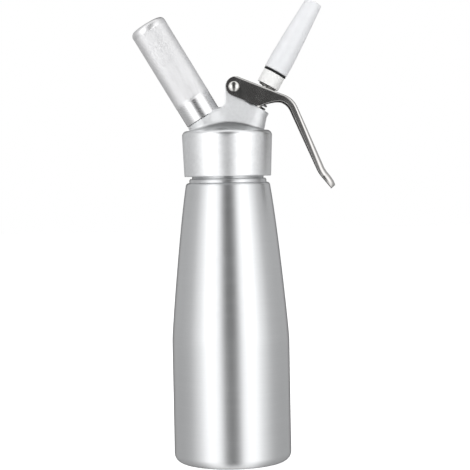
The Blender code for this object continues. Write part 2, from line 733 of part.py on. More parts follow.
def lever_blank(axis):
    stations = lever_path()
    total = stations[-1][2]
    taper_start = PLATE_REACH + SWEEP_LENGTH
    shape = bmesh.new()
    rows = []
    for place, heading, travelled in stations:
        narrowed = min(max((travelled - taper_start) / HANDLE_TAPER, 0), 1)
        narrowed = narrowed * narrowed * (3 - 2 * narrowed)
        half_width = PLATE_OUTER + (HANDLE_HALF_WIDTH - PLATE_OUTER) * narrowed
        corner = PLATE_CORNER + (HANDLE_CORNER - PLATE_CORNER) * narrowed
        from_end = (total - travelled) / TIP_ROUND_LENGTH
        if from_end < 1:
            narrowest = 1 - HANDLE_CORNER / HANDLE_HALF_WIDTH
            round_share = math.sqrt(1 - (1 - from_end) ** 2 * narrowest)
            half_width = HANDLE_CORNER + (HANDLE_HALF_WIDTH - HANDLE_CORNER) * round_share
        outwards = Vector((math.sin(heading), 0, math.cos(heading)))
        row = []
        for across, down in channel_section(half_width, flange_depth(travelled), corner):
            point = place + outwards * down
            row.append(shape.verts.new((point.x, across, point.z)))
        rows.append(row)
    count = len(rows[0])
    for low, high in zip(rows, rows[1:]):
        for spot in range(count):
            after = (spot + 1) % count
            shape.faces.new((low[spot], low[after], high[after], high[spot]))
    shape.faces.new(rows[0])
    shape.faces.new(rows[-1])
    return add_object("lever", mesh_from("lever", shape), polished_steel(), axis)


def lever(axis):
    blank = lever_blank(axis)
    middle = WEB_RISE - PLATE_DEPTH / 2
    far = PLATE_END_RADIUS + OVERRUN
    centre = (PLATE_END_RADIUS - PLATE_END_BACK, middle)
    behind = -PLATE_END_BACK - 2 * OVERRUN
    outline = [(centre[0], middle + far), (behind, middle + far), (behind, middle - far)]
    outline += [(centre[0], middle - far)] + arc(centre, PLATE_END_RADIUS, 268, 92, 10)
    end_cutter = prism("lever_end_cutter", outline, PLATE_OUTER + OVERRUN, axis)
    web_low = -PLATE_DEPTH
    outline = [(behind, web_low), (WEB_START, web_low), (WEB_START, WEB_RISE + OVERRUN)]
    outline += [(behind, WEB_RISE + OVERRUN)]
    web_cutter = prism("lever_web_cutter", outline, PLATE_INNER - WEB_LIP, axis)
    half_slot = STEM_RADIUS + CLEARANCE + LUG_INSET
    shape = bmesh.new()
    slot = arc((STEM_REACH + SLOT_FRONT, 0), half_slot, -90, 90, 6)
    slot += arc((STEM_REACH - SLOT_BACK, 0), half_slot, 90, 270, 6)
    low = [shape.verts.new((x, y, WEB_RISE - SHEET - OVERRUN)) for x, y in slot]
    high = [shape.verts.new((x, y, WEB_RISE + OVERRUN)) for x, y in slot]
    shape.faces.new(low)
    shape.faces.new(high)
    for spot in range(len(slot)):
        after = (spot + 1) % len(slot)
        shape.faces.new((low[spot], low[after], high[after], high[spot]))
    slot_cutter = add_object("stem_slot_cutter", mesh_from("stem_slot_cutter", shape), None, axis)
    cut(blank, end_cutter, web_cutter, slot_cutter, pin_hole_cutter(axis, "lever_pin_hole"))


def lever_pin(axis):
    """The pin's own +Z points to the front."""
    seat = PLATE_OUTER + CLEARANCE
    tail = -seat - PIN_CAP_BORE_DEPTH
    outline = [(0, tail), (PIN_RADIUS, tail), (PIN_RADIUS, seat)]
    outline += dome_outline(seat)
    pin = turned("lever_pin", outline, SMALL_SIDES, axis, polished_steel())
    pin.rotation_euler = (math.pi / 2, 0, 0)


def dome_outline(seat):
    rise = PIN_HEAD_HEIGHT
    points = [(PIN_HEAD_RADIUS, seat)]
    for share in PIN_DOME_SHARES:
        points.append((PIN_HEAD_RADIUS * math.sqrt(1 - share * share), seat + rise * share))
    return points + [(0, seat + rise)]


def pin_cap(axis):
    seat = PLATE_OUTER + CLEARANCE
    bore = PIN_RADIUS + CLEARANCE
    depth = PIN_CAP_BORE_DEPTH + CLEARANCE
    outline = [(0, seat + depth), (bore, seat + depth), (bore, seat)] + dome_outline(seat)
    cap = turned("pin_cap", outline, SMALL_SIDES, axis, polished_steel())
    cap.rotation_euler = (-math.pi / 2, 0, 0)


# Valve

def piston(axis):
    head_top = SEAT - CLEARANCE - SEAL_THICKNESS - CLEARANCE
    bottom = head_top - PISTON_HEAD_THICKNESS
    stem_step = ADAPTER_BOTTOM - CLEARANCE
    stem_top = ADAPTER_TOP - STEM_END_INSET
    bore_bottom = SEAT + PORT_FROM_SEAT - 2 * PORT_RADIUS
    outline = [(0, bottom), (PISTON_HEAD_RADIUS, bottom), (PISTON_HEAD_RADIUS, head_top)]
    outline += [(STEM_RADIUS, head_top), (STEM_RADIUS, stem_step), (STEM_TOP_RADIUS, stem_step)]
    outline += [(STEM_TOP_RADIUS, stem_top), (STEM_BORE, stem_top)]
    outline += [(STEM_BORE, bore_bottom), (0, bore_bottom)]
    stem = turned("piston", outline, SMALL_SIDES, axis, polished_steel())
    reach = STEM_RADIUS + OVERRUN
    outline = [(0, -reach), (PORT_RADIUS, -reach), (PORT_RADIUS, reach), (0, reach)]
    ports = turned("piston_ports", outline, TINY_SIDES, axis)
    ports.location = (0, 0, SEAT + PORT_FROM_SEAT)
    ports.rotation_euler = (math.pi / 2, 0, 0)
    cut(stem, ports)


def piston_seal(axis):
    inner = STEM_RADIUS + CLEARANCE
    bottom = SEAT - CLEARANCE - SEAL_THICKNESS
    outline = tube_outline(inner, PISTON_HEAD_RADIUS, bottom, bottom + SEAL_THICKNESS)
    turned("piston_seal", outline, SMALL_SIDES, axis, black_rubber())


def thrust_nut(axis):
    inner = STEM_RADIUS + CLEARANCE
    outline = [(inner, NUT_BOTTOM), (NUT_RADIUS, NUT_BOTTOM), (NUT_RADIUS, NUT_TOP - NUT_CROWN_DROP)]
    outline += [(NUT_CROWN_RADIUS, NUT_TOP), (inner, NUT_TOP)]
    turned("thrust_nut", outline, SMALL_SIDES, axis, polished_steel())


def valve_guide(axis):
    inner = STEM_RADIUS + CLEARANCE
    bottom = BOSS_TOP - GUIDE_LENGTH
    outline = [(inner, bottom), (GUIDE_RADIUS, bottom), (GUIDE_RADIUS, BOSS_TOP - GUIDE_FLANGE)]
    outline += [(GUIDE_FLANGE_RADIUS, BOSS_TOP - GUIDE_FLANGE), (GUIDE_FLANGE_RADIUS, BOSS_TOP)]
    outline += [(inner, BOSS_TOP)]
    turned("valve_guide", outline, SMALL_SIDES, axis, white_plastic())


def stem_o_ring(axis):
    middle = STEM_RADIUS + CLEARANCE + O_RING_WIRE / 2
    height = GLAND_FLOOR + CLEARANCE + O_RING_WIRE / 2
    outline = arc((middle, height), O_RING_WIRE / 2, 0, 315, 7)
    turned("stem_o_ring", outline, SMALL_SIDES, axis, black_rubber())


def spring_points():
    """The middle of the wire: close turns at the ends and a wider pitch between."""
    ends = SPRING_END_TURNS
    rise = SPRING_LENGTH - SPRING_WIRE
    middle_pitch = (rise - 2 * ends * SPRING_END_PITCH) / (SPRING_TURNS - 2 * ends)
    points = []
    height = SPRING_TOP - SPRING_LENGTH + SPRING_WIRE / 2
    for step in range(SPRING_TURNS * SPRING_POINTS_PER_TURN + 1):
        turn = step / SPRING_POINTS_PER_TURN
        angle = math.tau * turn
        across = (SPRING_RADIUS * math.cos(angle), SPRING_RADIUS * math.sin(angle))
        points.append(Vector((*across, height)))
        middle = turn + 1 / (2 * SPRING_POINTS_PER_TURN)
        at_end = middle < ends or middle > SPRING_TURNS - ends
        height += (SPRING_END_PITCH if at_end else middle_pitch) / SPRING_POINTS_PER_TURN
    first = points[0] - Vector((0, SPRING_WIRE, 0))
    last_angle = math.tau * SPRING_TURNS
    last = points[-1] + Vector((-math.sin(last_angle), math.cos(last_angle), 0)) * SPRING_WIRE
    return [first] + points + [last]


def least_self_gap(points, wire):
    """The least distance between stretches over half a turn apart, less the wire."""
    apart = SPRING_POINTS_PER_TURN // 2 + 1
    least = min(
        (points[i] - points[j]).length
        for i in range(len(points))
        for j in range(i + apart, len(points))
    )
    return least - wire


def valve_spring(axis):
    points = spring_points()
    print("valve_spring least gap to itself, mm:", round(least_self_gap(points, SPRING_WIRE) * 1000, 2))
    wire = bpy.data.curves.new("valve_spring", "CURVE")
    wire.dimensions = "3D"
    wire.bevel_depth = SPRING_WIRE / 2
    wire.bevel_resolution = 1
    wire.use_fill_caps = True
    line = wire.splines.new("POLY")
    line.points.add(len(points) - 1)
    for spot, point in zip(line.points, points):
        spot.co = (*point, 1)
    wire.materials.append(spring_steel())
    spring = bpy.data.objects.new("valve_spring", wire)
    bpy.context.scene.collection.objects.link(spring)
    spring.parent = axis


# Decorating tip

def tip_adapter(axis):
    inner = STEM_TOP_RADIUS + CLEARANCE
    flange_top = ADAPTER_BOTTOM + ADAPTER_FLANGE
    outline = [(inner, ADAPTER_BOTTOM), (ADAPTER_FLANGE_RADIUS, ADAPTER_BOTTOM)]
    outline += [(ADAPTER_FLANGE_RADIUS, flange_top), (ADAPTER_RADIUS, flange_top)]
    outline += [(ADAPTER_RADIUS, ADAPTER_TOP), (inner, ADAPTER_TOP)]
    body = turned("tip_adapter", outline, SMALL_SIDES, axis, polished_steel())
    crest = ADAPTER_RADIUS + TIP_THREAD_HEIGHT
    join(body, tip_ridge("adapter_thread", ADAPTER_RADIUS, crest, MATE_SHARE, axis))


def tip_ridge(name, wall, crest, pitches_up, axis):
    first = TIP_BOTTOM + TIP_THREAD_START + TIP_PITCH * pitches_up
    turns = TIP_TURNS - pitches_up
    return ridge(
        name, wall, crest, first, turns, TIP_PITCH,
        TIP_THREAD_ROOT, TIP_THREAD_CREST, SMALL_SIDES, axis,
    )


def tip_gasket(axis):
    inner = TIP_PASSAGE + CLEARANCE
    bottom = ADAPTER_TOP + CLEARANCE
    outline = tube_outline(inner, ADAPTER_RADIUS, bottom, bottom + TIP_GASKET_THICKNESS)
    turned("tip_gasket", outline, SMALL_SIDES, axis, silicone())


def tip_base(axis):
    chamfer = TIP_BASE_CHAMFER
    outline = [(TIP_BORE, TIP_BOTTOM), (TIP_BASE_RADIUS - chamfer, TIP_BOTTOM)]
    outline += [(TIP_BASE_RADIUS, TIP_BOTTOM + chamfer), (TIP_BASE_RADIUS, TIP_BASE_TOP - chamfer)]
    outline += [(TIP_BASE_RADIUS - chamfer, TIP_BASE_TOP), (SPIGOT_RADIUS, TIP_BASE_TOP)]
    outline += [(SPIGOT_RADIUS, SPIGOT_TOP), (TIP_PASSAGE, SPIGOT_TOP)]
    outline += [(TIP_PASSAGE, TIP_CEILING), (TIP_BORE, TIP_CEILING)]
    body = turned("tip_base", outline, SMALL_SIDES, axis, brushed_aluminium())
    join(body, tip_ridge("tip_base_thread", TIP_BORE, ADAPTER_RADIUS + CLEARANCE, 0, axis))


def tip_band(axis):
    inner = SPIGOT_RADIUS + CLEARANCE
    outline = tube_outline(inner, BAND_RADIUS, BAND_BOTTOM, BAND_BOTTOM + BAND_THICKNESS)
    turned("tip_band", outline, HOLDER_SIDES, axis, black_rubber())


def spout_radius(height):
    """The spout's outer radius: full at its base, then a taper that eases off."""
    if height <= SPOUT_BASE_LENGTH:
        return SPOUT_BASE_RADIUS
    if height < SPOUT_WAIST_HEIGHT:
        share = (height - SPOUT_BASE_LENGTH) / (SPOUT_WAIST_HEIGHT - SPOUT_BASE_LENGTH)
        return SPOUT_BASE_RADIUS + (SPOUT_WAIST_RADIUS - SPOUT_BASE_RADIUS) * share
    share = (height - SPOUT_WAIST_HEIGHT) / (SPOUT_LENGTH - SPOUT_WAIST_HEIGHT)
    return SPOUT_WAIST_RADIUS + (SPOUT_END_RADIUS - SPOUT_WAIST_RADIUS) * share


def tip_spout(axis):
    socket = SPIGOT_RADIUS + CLEARANCE
    socket_top = SPIGOT_TOP + CLEARANCE
    top = SPOUT_BOTTOM + SPOUT_LENGTH
    heights = heights_between(0, SPOUT_BASE_LENGTH, 1)
    heights += heights_between(SPOUT_BASE_LENGTH, SPOUT_WAIST_HEIGHT, 3)[1:]
    heights += heights_between(SPOUT_WAIST_HEIGHT, SPOUT_LENGTH - SPOUT_END_ROUND, 2)[1:]
    outline = [(socket, SPOUT_BOTTOM)]
    outline += [(spout_radius(height), SPOUT_BOTTOM + height) for height in heights]
    outline += [(SPOUT_END_RADIUS - SPOUT_END_ROUND, top), (SPOUT_END_BORE, top)]
    outline += [(SPOUT_BORE, socket_top), (socket, socket_top)]
    turned("tip_spout", outline, HOLDER_SIDES, axis, white_plastic())


# Gas inlet, charger and holder

def inlet_stud(axis):
    bottom = CLEARANCE
    root = -STUD_ROOT_LENGTH
    nose = root - STUD_NOSE_LENGTH
    needle_bore = PIN_BASE_RADIUS + CLEARANCE
    needle_floor = STUD_FLOOR - PIN_BASE_LENGTH - CLEARANCE
    outline = [(STUD_NOSE_BORE, nose), (STUD_NOSE_RADIUS, nose), (STUD_NOSE_RADIUS, root)]
    outline += [(STUD_ROOT_RADIUS, root), (STUD_ROOT_RADIUS, bottom), (STUD_RADIUS, bottom)]
    outline += [(STUD_RADIUS, STUD_LENGTH), (STUD_BORE, STUD_LENGTH), (STUD_BORE, STUD_FLOOR)]
    outline += [(needle_bore, STUD_FLOOR), (needle_bore, needle_floor), (STUD_NOSE_BORE, needle_floor)]
    stud = turned("inlet_stud", outline, SMALL_SIDES, axis, polished_steel())
    join(stud, inlet_ridge("stud_thread", STUD_RADIUS, STUD_CREST, MATE_SHARE, axis))


def inlet_ridge(name, wall, crest, pitches_up, axis):
    first = INLET_THREAD_START + INLET_PITCH * pitches_up
    turns = INLET_TURNS - pitches_up
    return ridge(
        name, wall, crest, first, turns, INLET_PITCH,
        INLET_THREAD_ROOT, INLET_THREAD_CREST, SMALL_SIDES, axis,
    )


def piercing_pin(axis):
    base = STUD_FLOOR - PIN_BASE_LENGTH
    point = STUD_FLOOR + NEEDLE_LENGTH
    outline = [(NEEDLE_BORE, base), (PIN_BASE_RADIUS, base), (PIN_BASE_RADIUS, STUD_FLOOR)]
    outline += [(NEEDLE_RADIUS, STUD_FLOOR), (NEEDLE_RADIUS, point - NEEDLE_POINT)]
    outline += [((NEEDLE_RADIUS + NEEDLE_BORE) / 2, point), (NEEDLE_BORE, point)]
    turned("piercing_pin", outline, TINY_SIDES, axis, polished_steel())


def charger_seal(axis):
    inner = NEEDLE_RADIUS + CLEARANCE
    top = SEAL_BOTTOM + CHARGER_SEAL_THICKNESS
    outline = tube_outline(inner, STUD_BORE - CLEARANCE, SEAL_BOTTOM, top)
    turned("charger_seal", outline, SMALL_SIDES, axis, black_rubber())


def check_valve(axis):
    inner = STUD_NOSE_RADIUS + CLEARANCE
    top = -STUD_ROOT_LENGTH - 2 * CLEARANCE
    bottom = -STUD_ROOT_LENGTH - STUD_NOSE_LENGTH + CLEARANCE
    outline = tube_outline(inner, inner + SLEEVE_WALL, bottom, top)
    turned("check_valve", outline, SMALL_SIDES, axis, silicone())


def charger_outline(radius, neck, start, end, inset):
    """The cartridge's outside, or its inside when inset by the wall."""
    neck_top = CHARGER_START + CHARGER_NECK_LENGTH + inset
    shoulder = neck_top + CHARGER_SHOULDER
    end_start = end - CHARGER_END_LENGTH + inset
    half_radius = neck + (radius - neck) * CHARGER_SHOULDER_SHARE
    half_height = neck_top + (shoulder - neck_top) / 2
    points = [(neck, start), (neck, neck_top), (half_radius, half_height)]
    points += [(radius, shoulder), (radius, end_start)]
    for share in CHARGER_END_SHARES:
        points.append((radius * math.sqrt(1 - share * share), end_start + (end - end_start) * share))
    return points + [(0, end)]


def charger(axis):
    inner_neck = CHARGER_NECK_RADIUS - CHARGER_WALL
    inside_start = CHARGER_START + CHARGER_WALL
    outer = charger_outline(CHARGER_RADIUS, CHARGER_NECK_RADIUS, CHARGER_START, CHARGER_END, 0)
    inner = charger_outline(
        CHARGER_RADIUS - CHARGER_WALL, inner_neck, inside_start, CHARGER_END - CHARGER_WALL, CLEARANCE
    )
    outline = [(PIERCED_RADIUS, CHARGER_START)] + outer
    outline += list(reversed(inner)) + [(PIERCED_RADIUS, inside_start)]
    turned("charger", outline, SMALL_SIDES, axis, charger_steel())


def charger_holder(axis):
    band_radius = HOLDER_RADIUS - HOLDER_BAND_STEP
    bottom = CLEARANCE
    round_start = HOLDER_END - HOLDER_END_THICKNESS
    outline = [(HOLDER_BORE, bottom), (band_radius, bottom), (band_radius, HOLDER_BAND_LENGTH)]
    outline += [(HOLDER_RADIUS, HOLDER_BAND_LENGTH + HOLDER_BAND_STEP)]
    centre = (HOLDER_RADIUS - HOLDER_END_THICKNESS, round_start - CLEARANCE)
    outline += arc(centre, HOLDER_END_THICKNESS, 0, 75, 3)
    outline += [(0, HOLDER_END)]
    inner_end = CHARGER_END - CHARGER_END_LENGTH + CLEARANCE
    outline += [(0, HOLDER_FLOOR), (HOLDER_BORE / 2, HOLDER_FLOOR), (HOLDER_BORE, inner_end)]
    body = turned("charger_holder", outline, HOLDER_SIDES, axis, brushed_aluminium())
    join(body, inlet_ridge("holder_thread", HOLDER_BORE, STUD_RADIUS + CLEARANCE, 0, axis))


def holder_liner(axis):
    outline = tube_outline(LINER_BORE, LINER_RADIUS, LINER_START, LINER_END)
    turned("holder_liner", outline, HOLDER_SIDES, axis, grey_plastic())


def build():
    clear_scene()
    axes = {
        "bottle": axis_empty("bottle_axis", (0, 0, 0)),
        "head": axis_empty("head_axis", HEAD_ORIGIN),
        "valve": axis_empty("valve_axis", STEM_POINT, NOZZLE_LEAN),
        "holder": axis_empty("holder_axis", MOUTH_POINT, HOLDER_LEAN),
        "lever": axis_empty("lever_axis", PIN_POINT, LEVER_SLOPE),
    }
    bottle(axes["bottle"])
    head_gasket(axes["bottle"])
    head(axes)
    lever(axes["lever"])
    lever_pin(axes["lever"])
    pin_cap(axes["lever"])
    for make in (piston, piston_seal, thrust_nut, valve_guide, stem_o_ring, valve_spring):
        make(axes["valve"])
    for make in (tip_adapter, tip_gasket, tip_base, tip_band, tip_spout):
        make(axes["valve"])
    for make in (inlet_stud, piercing_pin, charger_seal, check_valve):
        make(axes["holder"])
    for make in (charger, charger_holder, holder_liner):
        make(axes["holder"])


build()
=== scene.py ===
# Whipped cream dispenser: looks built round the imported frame.
# All sizes below are in millimetres; meshes are scaled to metres when they are made.

import math

import bmesh
import bpy
import numpy as np
from mathutils import Matrix, Vector


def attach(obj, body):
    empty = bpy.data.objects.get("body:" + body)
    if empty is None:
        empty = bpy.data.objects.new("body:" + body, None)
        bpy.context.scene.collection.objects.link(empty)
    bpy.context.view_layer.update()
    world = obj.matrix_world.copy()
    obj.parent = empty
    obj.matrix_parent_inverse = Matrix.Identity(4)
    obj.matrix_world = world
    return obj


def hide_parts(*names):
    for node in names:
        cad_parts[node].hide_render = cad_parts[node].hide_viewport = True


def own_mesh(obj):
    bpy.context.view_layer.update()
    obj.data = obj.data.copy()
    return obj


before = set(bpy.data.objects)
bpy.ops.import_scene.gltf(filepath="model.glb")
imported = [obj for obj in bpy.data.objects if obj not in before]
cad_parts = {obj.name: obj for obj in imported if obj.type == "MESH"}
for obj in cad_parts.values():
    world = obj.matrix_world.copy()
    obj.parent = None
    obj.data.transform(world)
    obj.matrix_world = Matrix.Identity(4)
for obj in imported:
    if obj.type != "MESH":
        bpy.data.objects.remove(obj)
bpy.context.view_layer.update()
print("frame loaded, pieces:", len(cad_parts))

mm = 0.001

# places of the working axes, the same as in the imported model
axisPlaces = {
    "ceiling": 213.9,
    "stemPoint": (26.4838, 0, 249.4342),
    "stemLean": 30.0,
    "pinPoint": (5.2, 0, 251.3),
    "leverSlope": 22.3,
    "mouthPoint": (-15.5, 0, 231.1),
    "holderLean": -30.5,
}


def axisFrame(point, lean):
    place = Matrix.Translation(Vector(point) * mm)
    return place @ Matrix.Rotation(math.radians(lean), 4, "Y")


bottleFrame = Matrix.Identity(4)
headFrame = axisFrame((0, 0, axisPlaces["ceiling"]), 0)
valveFrame = axisFrame(axisPlaces["stemPoint"], axisPlaces["stemLean"])
leverFrame = axisFrame(axisPlaces["pinPoint"], axisPlaces["leverSlope"])
holderFrame = axisFrame(axisPlaces["mouthPoint"], axisPlaces["holderLean"])
pinFrame = leverFrame @ Matrix.Rotation(math.pi / 2, 4, "X")
capFrame = leverFrame @ Matrix.Rotation(-math.pi / 2, 4, "X")


# helpers for objects, nodes and meshes

def addObject(name, data):
    thing = bpy.data.objects.new(name, data)
    bpy.context.scene.collection.objects.link(thing)
    return thing


def addNode(tree, kind, inputs=None, **settings):
    # an input is a fixed value, or the node or socket that feeds it
    node = tree.nodes.new(kind)
    for key, value in settings.items():
        setattr(node, key, value)
    for key, value in (inputs or {}).items():
        if isinstance(value, bpy.types.Node):
            value = value.outputs[0]
        if isinstance(value, bpy.types.NodeSocket):
            tree.links.new(value, node.inputs[key])
        else:
            node.inputs[key].default_value = value
    return node


def mathNode(tree, operation, *values):
    return addNode(tree, "ShaderNodeMath", dict(enumerate(values)), operation=operation).outputs[0]


def vectorNode(tree, operation, first, second):
    node = addNode(tree, "ShaderNodeVectorMath", {0: first, 1: second}, operation=operation)
    return node.outputs["Value" if operation == "DOT_PRODUCT" else "Vector"]


def between(tree, value, low, high):
    # 0 to 1 as the value goes from low to high
    return addNode(tree, "ShaderNodeMapRange", {"Value": value, "From Min": low, "From Max": high}).outputs[0]


def blended(tree, share, first, second):
    inputs = {"Factor": share, 2: first, 3: second}
    return addNode(tree, "ShaderNodeMix", inputs, data_type="FLOAT").outputs[0]


def setRamp(ramp, stops):
    # stops go up in place; each has a grey or a colour
    elements = ramp.color_ramp.elements
    while len(elements) > 1:
        elements.remove(elements[-1])
    elements[0].position = stops[0][0]
    for place, colour in stops[1:]:
        elements.new(place)
    for element, (place, colour) in zip(elements, stops):
        element.color = (colour, colour, colour, 1) if isinstance(colour, float) else (*colour, 1)


def meshFrom(name, shape):
    bmesh.ops.recalc_face_normals(shape, faces=shape.faces[:])
    mesh = bpy.data.meshes.new(name)
    shape.to_mesh(mesh)
    shape.free()
    return mesh


def skinRows(name, rows, endsClosed=True):
    # rows of matching points, each skinned to the next
    shape = bmesh.new()
    made = [[shape.verts.new((x * mm, y * mm, z * mm)) for x, y, z in row] for row in rows]
    for low, high in zip(made, made[1:]):
        for spot in range(len(low)):
            after = (spot + 1) % len(low)
            shape.faces.new((low[spot], low[after], high[after], high[spot]))
    if endsClosed:
        shape.faces.new(made[0])
        shape.faces.new(made[-1])
    return meshFrom(name, shape)


# camera at the photograph's angle

cameraSizes = {
    "place": (4.1, -1000, 190), "aim": (4.1, 0, 152.3), "roll": 1.09, "focal": 1487, "frameWidth": 470,
    "sensor": 36,
}


def placeCamera(sizes):
    data = bpy.data.cameras.new("photoCamera")
    data.sensor_width = sizes["sensor"]
    data.lens = sizes["focal"] / sizes["frameWidth"] * sizes["sensor"]
    camera = addObject("photoCamera", data)
    place = Vector(sizes["place"]) * mm
    forward = (Vector(sizes["aim"]) * mm - place).normalized()
    roll = math.radians(sizes["roll"])
    right = forward.cross(Vector((math.sin(roll), 0, math.cos(roll)))).normalized()
    up = right.cross(forward)
    turn = Matrix((right, up, -forward)).transposed()
    camera.matrix_world = Matrix.Translation(place) @ turn.to_4x4()
    bpy.context.scene.camera = camera


placeCamera(cameraSizes)
print("camera placed")


# studio: a white world, lamps, a pale floor, and a ring of softboxes and grey cards that only reflections see

studio = {
    "worldLight": 0.38,
    "ringRadius": 1500,
    "ringLow": -3000,
    "ringHigh": 3400,
    "ringSides": 96,
    "ringStrength": 2.15,
    "ringFade": (-450, 250),
    "ringTopFade": (500, 1000),
    "lampAim": 150,
    "floorSize": 9000,
    "floorDrop": 0.05,
    "floorColour": 0.82,
    "floorLift": 0.72,
}
# name, degrees round from the front, distance, height, width and power
studioLamps = [
    ("softboxLeft", -42, 1350, 420, 800, 6.2),
    ("softboxRight", 42, 1350, 420, 800, 6.2),
    ("topLight", 0, 200, 1300, 900, 4.4),
]
# brightness of the ring, from straight in front (0 degrees) round to straight behind (180)
ringStops = [
    (0, 0.032), (10, 0.042), (24, 0.93), (31, 1.0), (48, 1.0), (66, 0.6), (88, 0.3), (120, 0.26),
    (148, 0.26), (156, 0.1), (164, 0.02), (180, 0.0),
]
# the same low down, where the floor evens it out
ringLowStops = [
    (0, 0.12), (10, 0.14), (24, 0.56), (31, 0.64), (46, 0.62), (62, 0.38), (78, 0.27), (96, 0.21),
    (120, 0.2), (148, 0.2), (156, 0.08), (164, 0.02), (180, 0.0),
]
# and the same high up, where it is dark in front
ringTopStops = [
    (0, 0.03), (14, 0.04), (34, 0.5), (50, 0.8), (66, 0.56), (88, 0.33), (120, 0.28), (148, 0.28),
    (156, 0.1), (164, 0.02), (180, 0.0),
]


def emptyMaterial(name):
    material = bpy.data.materials.new(name)
    material.use_nodes = True
    material.node_tree.nodes.clear()
    return material, material.node_tree


def buildWorld(sizes):
    world = bpy.data.worlds.new("paleStudio")
    world.use_nodes = True
    tree = world.node_tree
    tree.nodes.clear()
    path = addNode(tree, "ShaderNodeLightPath").outputs
    seen = mathNode(tree, "MAXIMUM", path["Is Camera Ray"], path["Is Glossy Ray"])
    seen = mathNode(tree, "MAXIMUM", seen, path["Is Transmission Ray"])
    plain = addNode(tree, "ShaderNodeBackground", {"Color": (1, 1, 1, 1), "Strength": sizes["worldLight"]})
    white = addNode(tree, "ShaderNodeBackground", {"Color": (1, 1, 1, 1), "Strength": 1.0})
    mix = addNode(tree, "ShaderNodeMixShader", {0: seen, 1: plain, 2: white})
    addNode(tree, "ShaderNodeOutputWorld", {"Surface": mix})
    bpy.context.scene.world = world


def buildRing(sizes, *allStops):
    sides, radius = sizes["ringSides"], sizes["ringRadius"]
    angles = [math.tau * side / sides for side in range(sides)]
    heights = (sizes["ringLow"], sizes["ringHigh"])
    rows = [[(radius * math.cos(a), radius * math.sin(a), height) for a in angles] for height in heights]
    ring = addObject("studioRing", skinRows("studioRing", rows, False))
    ring.visible_camera = False
    ring.visible_diffuse = False
    ring.visible_shadow = False
    ring.visible_transmission = False
    material, tree = emptyMaterial("studioRing")
    place = addNode(tree, "ShaderNodeTexCoord")
    parts = addNode(tree, "ShaderNodeSeparateXYZ", {0: place.outputs["Object"]}).outputs
    front = mathNode(tree, "MULTIPLY", parts["Y"], -1.0)
    turn = mathNode(tree, "ABSOLUTE", mathNode(tree, "ARCTAN2", parts["X"], front))
    share = mathNode(tree, "DIVIDE", turn, math.pi)
    tones = []
    for stops in allStops:
        ramp = addNode(tree, "ShaderNodeValToRGB", {0: share})
        ramp.color_ramp.interpolation = "EASE"
        setRamp(ramp, [(azimuth / 180, float(value)) for azimuth, value in stops])
        tones.append(ramp)
    tone = tones[0]
    for fade, higher in zip((sizes["ringFade"], sizes["ringTopFade"]), tones[1:]):
        tone = blended(tree, between(tree, parts["Z"], fade[0] * mm, fade[1] * mm), tone, higher)
    glow = addNode(tree, "ShaderNodeEmission", {"Color": tone, "Strength": sizes["ringStrength"]})
    addNode(tree, "ShaderNodeOutputMaterial", {"Surface": glow})
    ring.data.materials.append(material)


def buildLamps(lamps, aim):
    for name, azimuth, reach, height, width, power in lamps:
        data = bpy.data.lights.new(name, "AREA")
        data.shape = "RECTANGLE"
        data.size = width * mm
        data.size_y = width * mm
        data.energy = power
        lamp = addObject(name, data)
        turn = math.radians(azimuth)
        place = Vector((math.sin(turn) * reach, -math.cos(turn) * reach, height)) * mm
        lamp.location = place
        lamp.rotation_mode = "QUATERNION"
        lamp.rotation_quaternion = (Vector((0, 0, aim)) * mm - place).to_track_quat("-Z", "Y")
        lamp.visible_glossy = False


def buildFloor(sizes):
    shape = bmesh.new()
    bmesh.ops.create_grid(shape, x_segments=8, y_segments=8, size=sizes["floorSize"] * mm / 2)
    mesh = bpy.data.meshes.new("paleFloor")
    shape.to_mesh(mesh)
    shape.free()
    floor = addObject("paleFloor", mesh)
    floor.location = (0, 0, -sizes["floorDrop"] * mm)
    floor.visible_glossy = False
    material, tree = emptyMaterial("paleFloor")
    tone = (sizes["floorColour"],) * 3 + (1,)
    matte = addNode(tree, "ShaderNodeBsdfDiffuse", {"Color": tone, "Roughness": 0.5})
    path = addNode(tree, "ShaderNodeLightPath").outputs
    lift = mathNode(tree, "MULTIPLY", path["Is Camera Ray"], sizes["floorLift"])
    glow = addNode(tree, "ShaderNodeEmission", {"Color": (1, 1, 1, 1), "Strength": lift})
    both = addNode(tree, "ShaderNodeAddShader", {0: matte, 1: glow})
    addNode(tree, "ShaderNodeOutputMaterial", {"Surface": both})
    mesh.materials.append(material)


buildWorld(studio)
buildRing(studio, ringLowStops, ringStops, ringTopStops)
buildLamps(studioLamps, studio["lampAim"])
buildFloor(studio)
bpy.context.scene.view_settings.view_transform = "Standard"
print("studio built")


# finishes

turnedScale = (60, 60, 3000)  # noise drawn out into the fine rings that a lathe leaves


def newFinish(name, looks, metallic):
    material = bpy.data.materials.new(name)
    material.use_nodes = True
    tree = material.node_tree
    shader = tree.nodes["Principled BSDF"]
    shader.inputs["Base Color"].default_value = (*looks["colour"], 1)
    shader.inputs["Roughness"].default_value = looks["roughness"]
    shader.inputs["Metallic"].default_value = metallic
    for key, value in looks.get("extra", {}).items():
        shader.inputs[key].default_value = value
    return material, tree, shader


def joinFinish(tree, shader, looks, rough, colour, height):
    bump = addNode(tree, "ShaderNodeBump", {
        "Strength": looks["bump"], "Distance": looks["bumpDepth"] * mm, "Height": height})
    tree.links.new(rough, shader.inputs["Roughness"])
    tree.links.new(colour, shader.inputs["Base Color"])
    tree.links.new(bump.outputs[0], shader.inputs["Normal"])


def scaledNoise(tree, scale, detail=2.0, rough=0.5):
    # noise in the piece's own space; unequal scales draw it out into lines
    place = addNode(tree, "ShaderNodeTexCoord")
    mapped = addNode(tree, "ShaderNodeMapping", {"Vector": place.outputs["Object"], "Scale": scale})
    return addNode(tree, "ShaderNodeTexNoise", {
        "Vector": mapped, "Scale": 1.0, "Detail": detail, "Roughness": rough}).outputs[0]


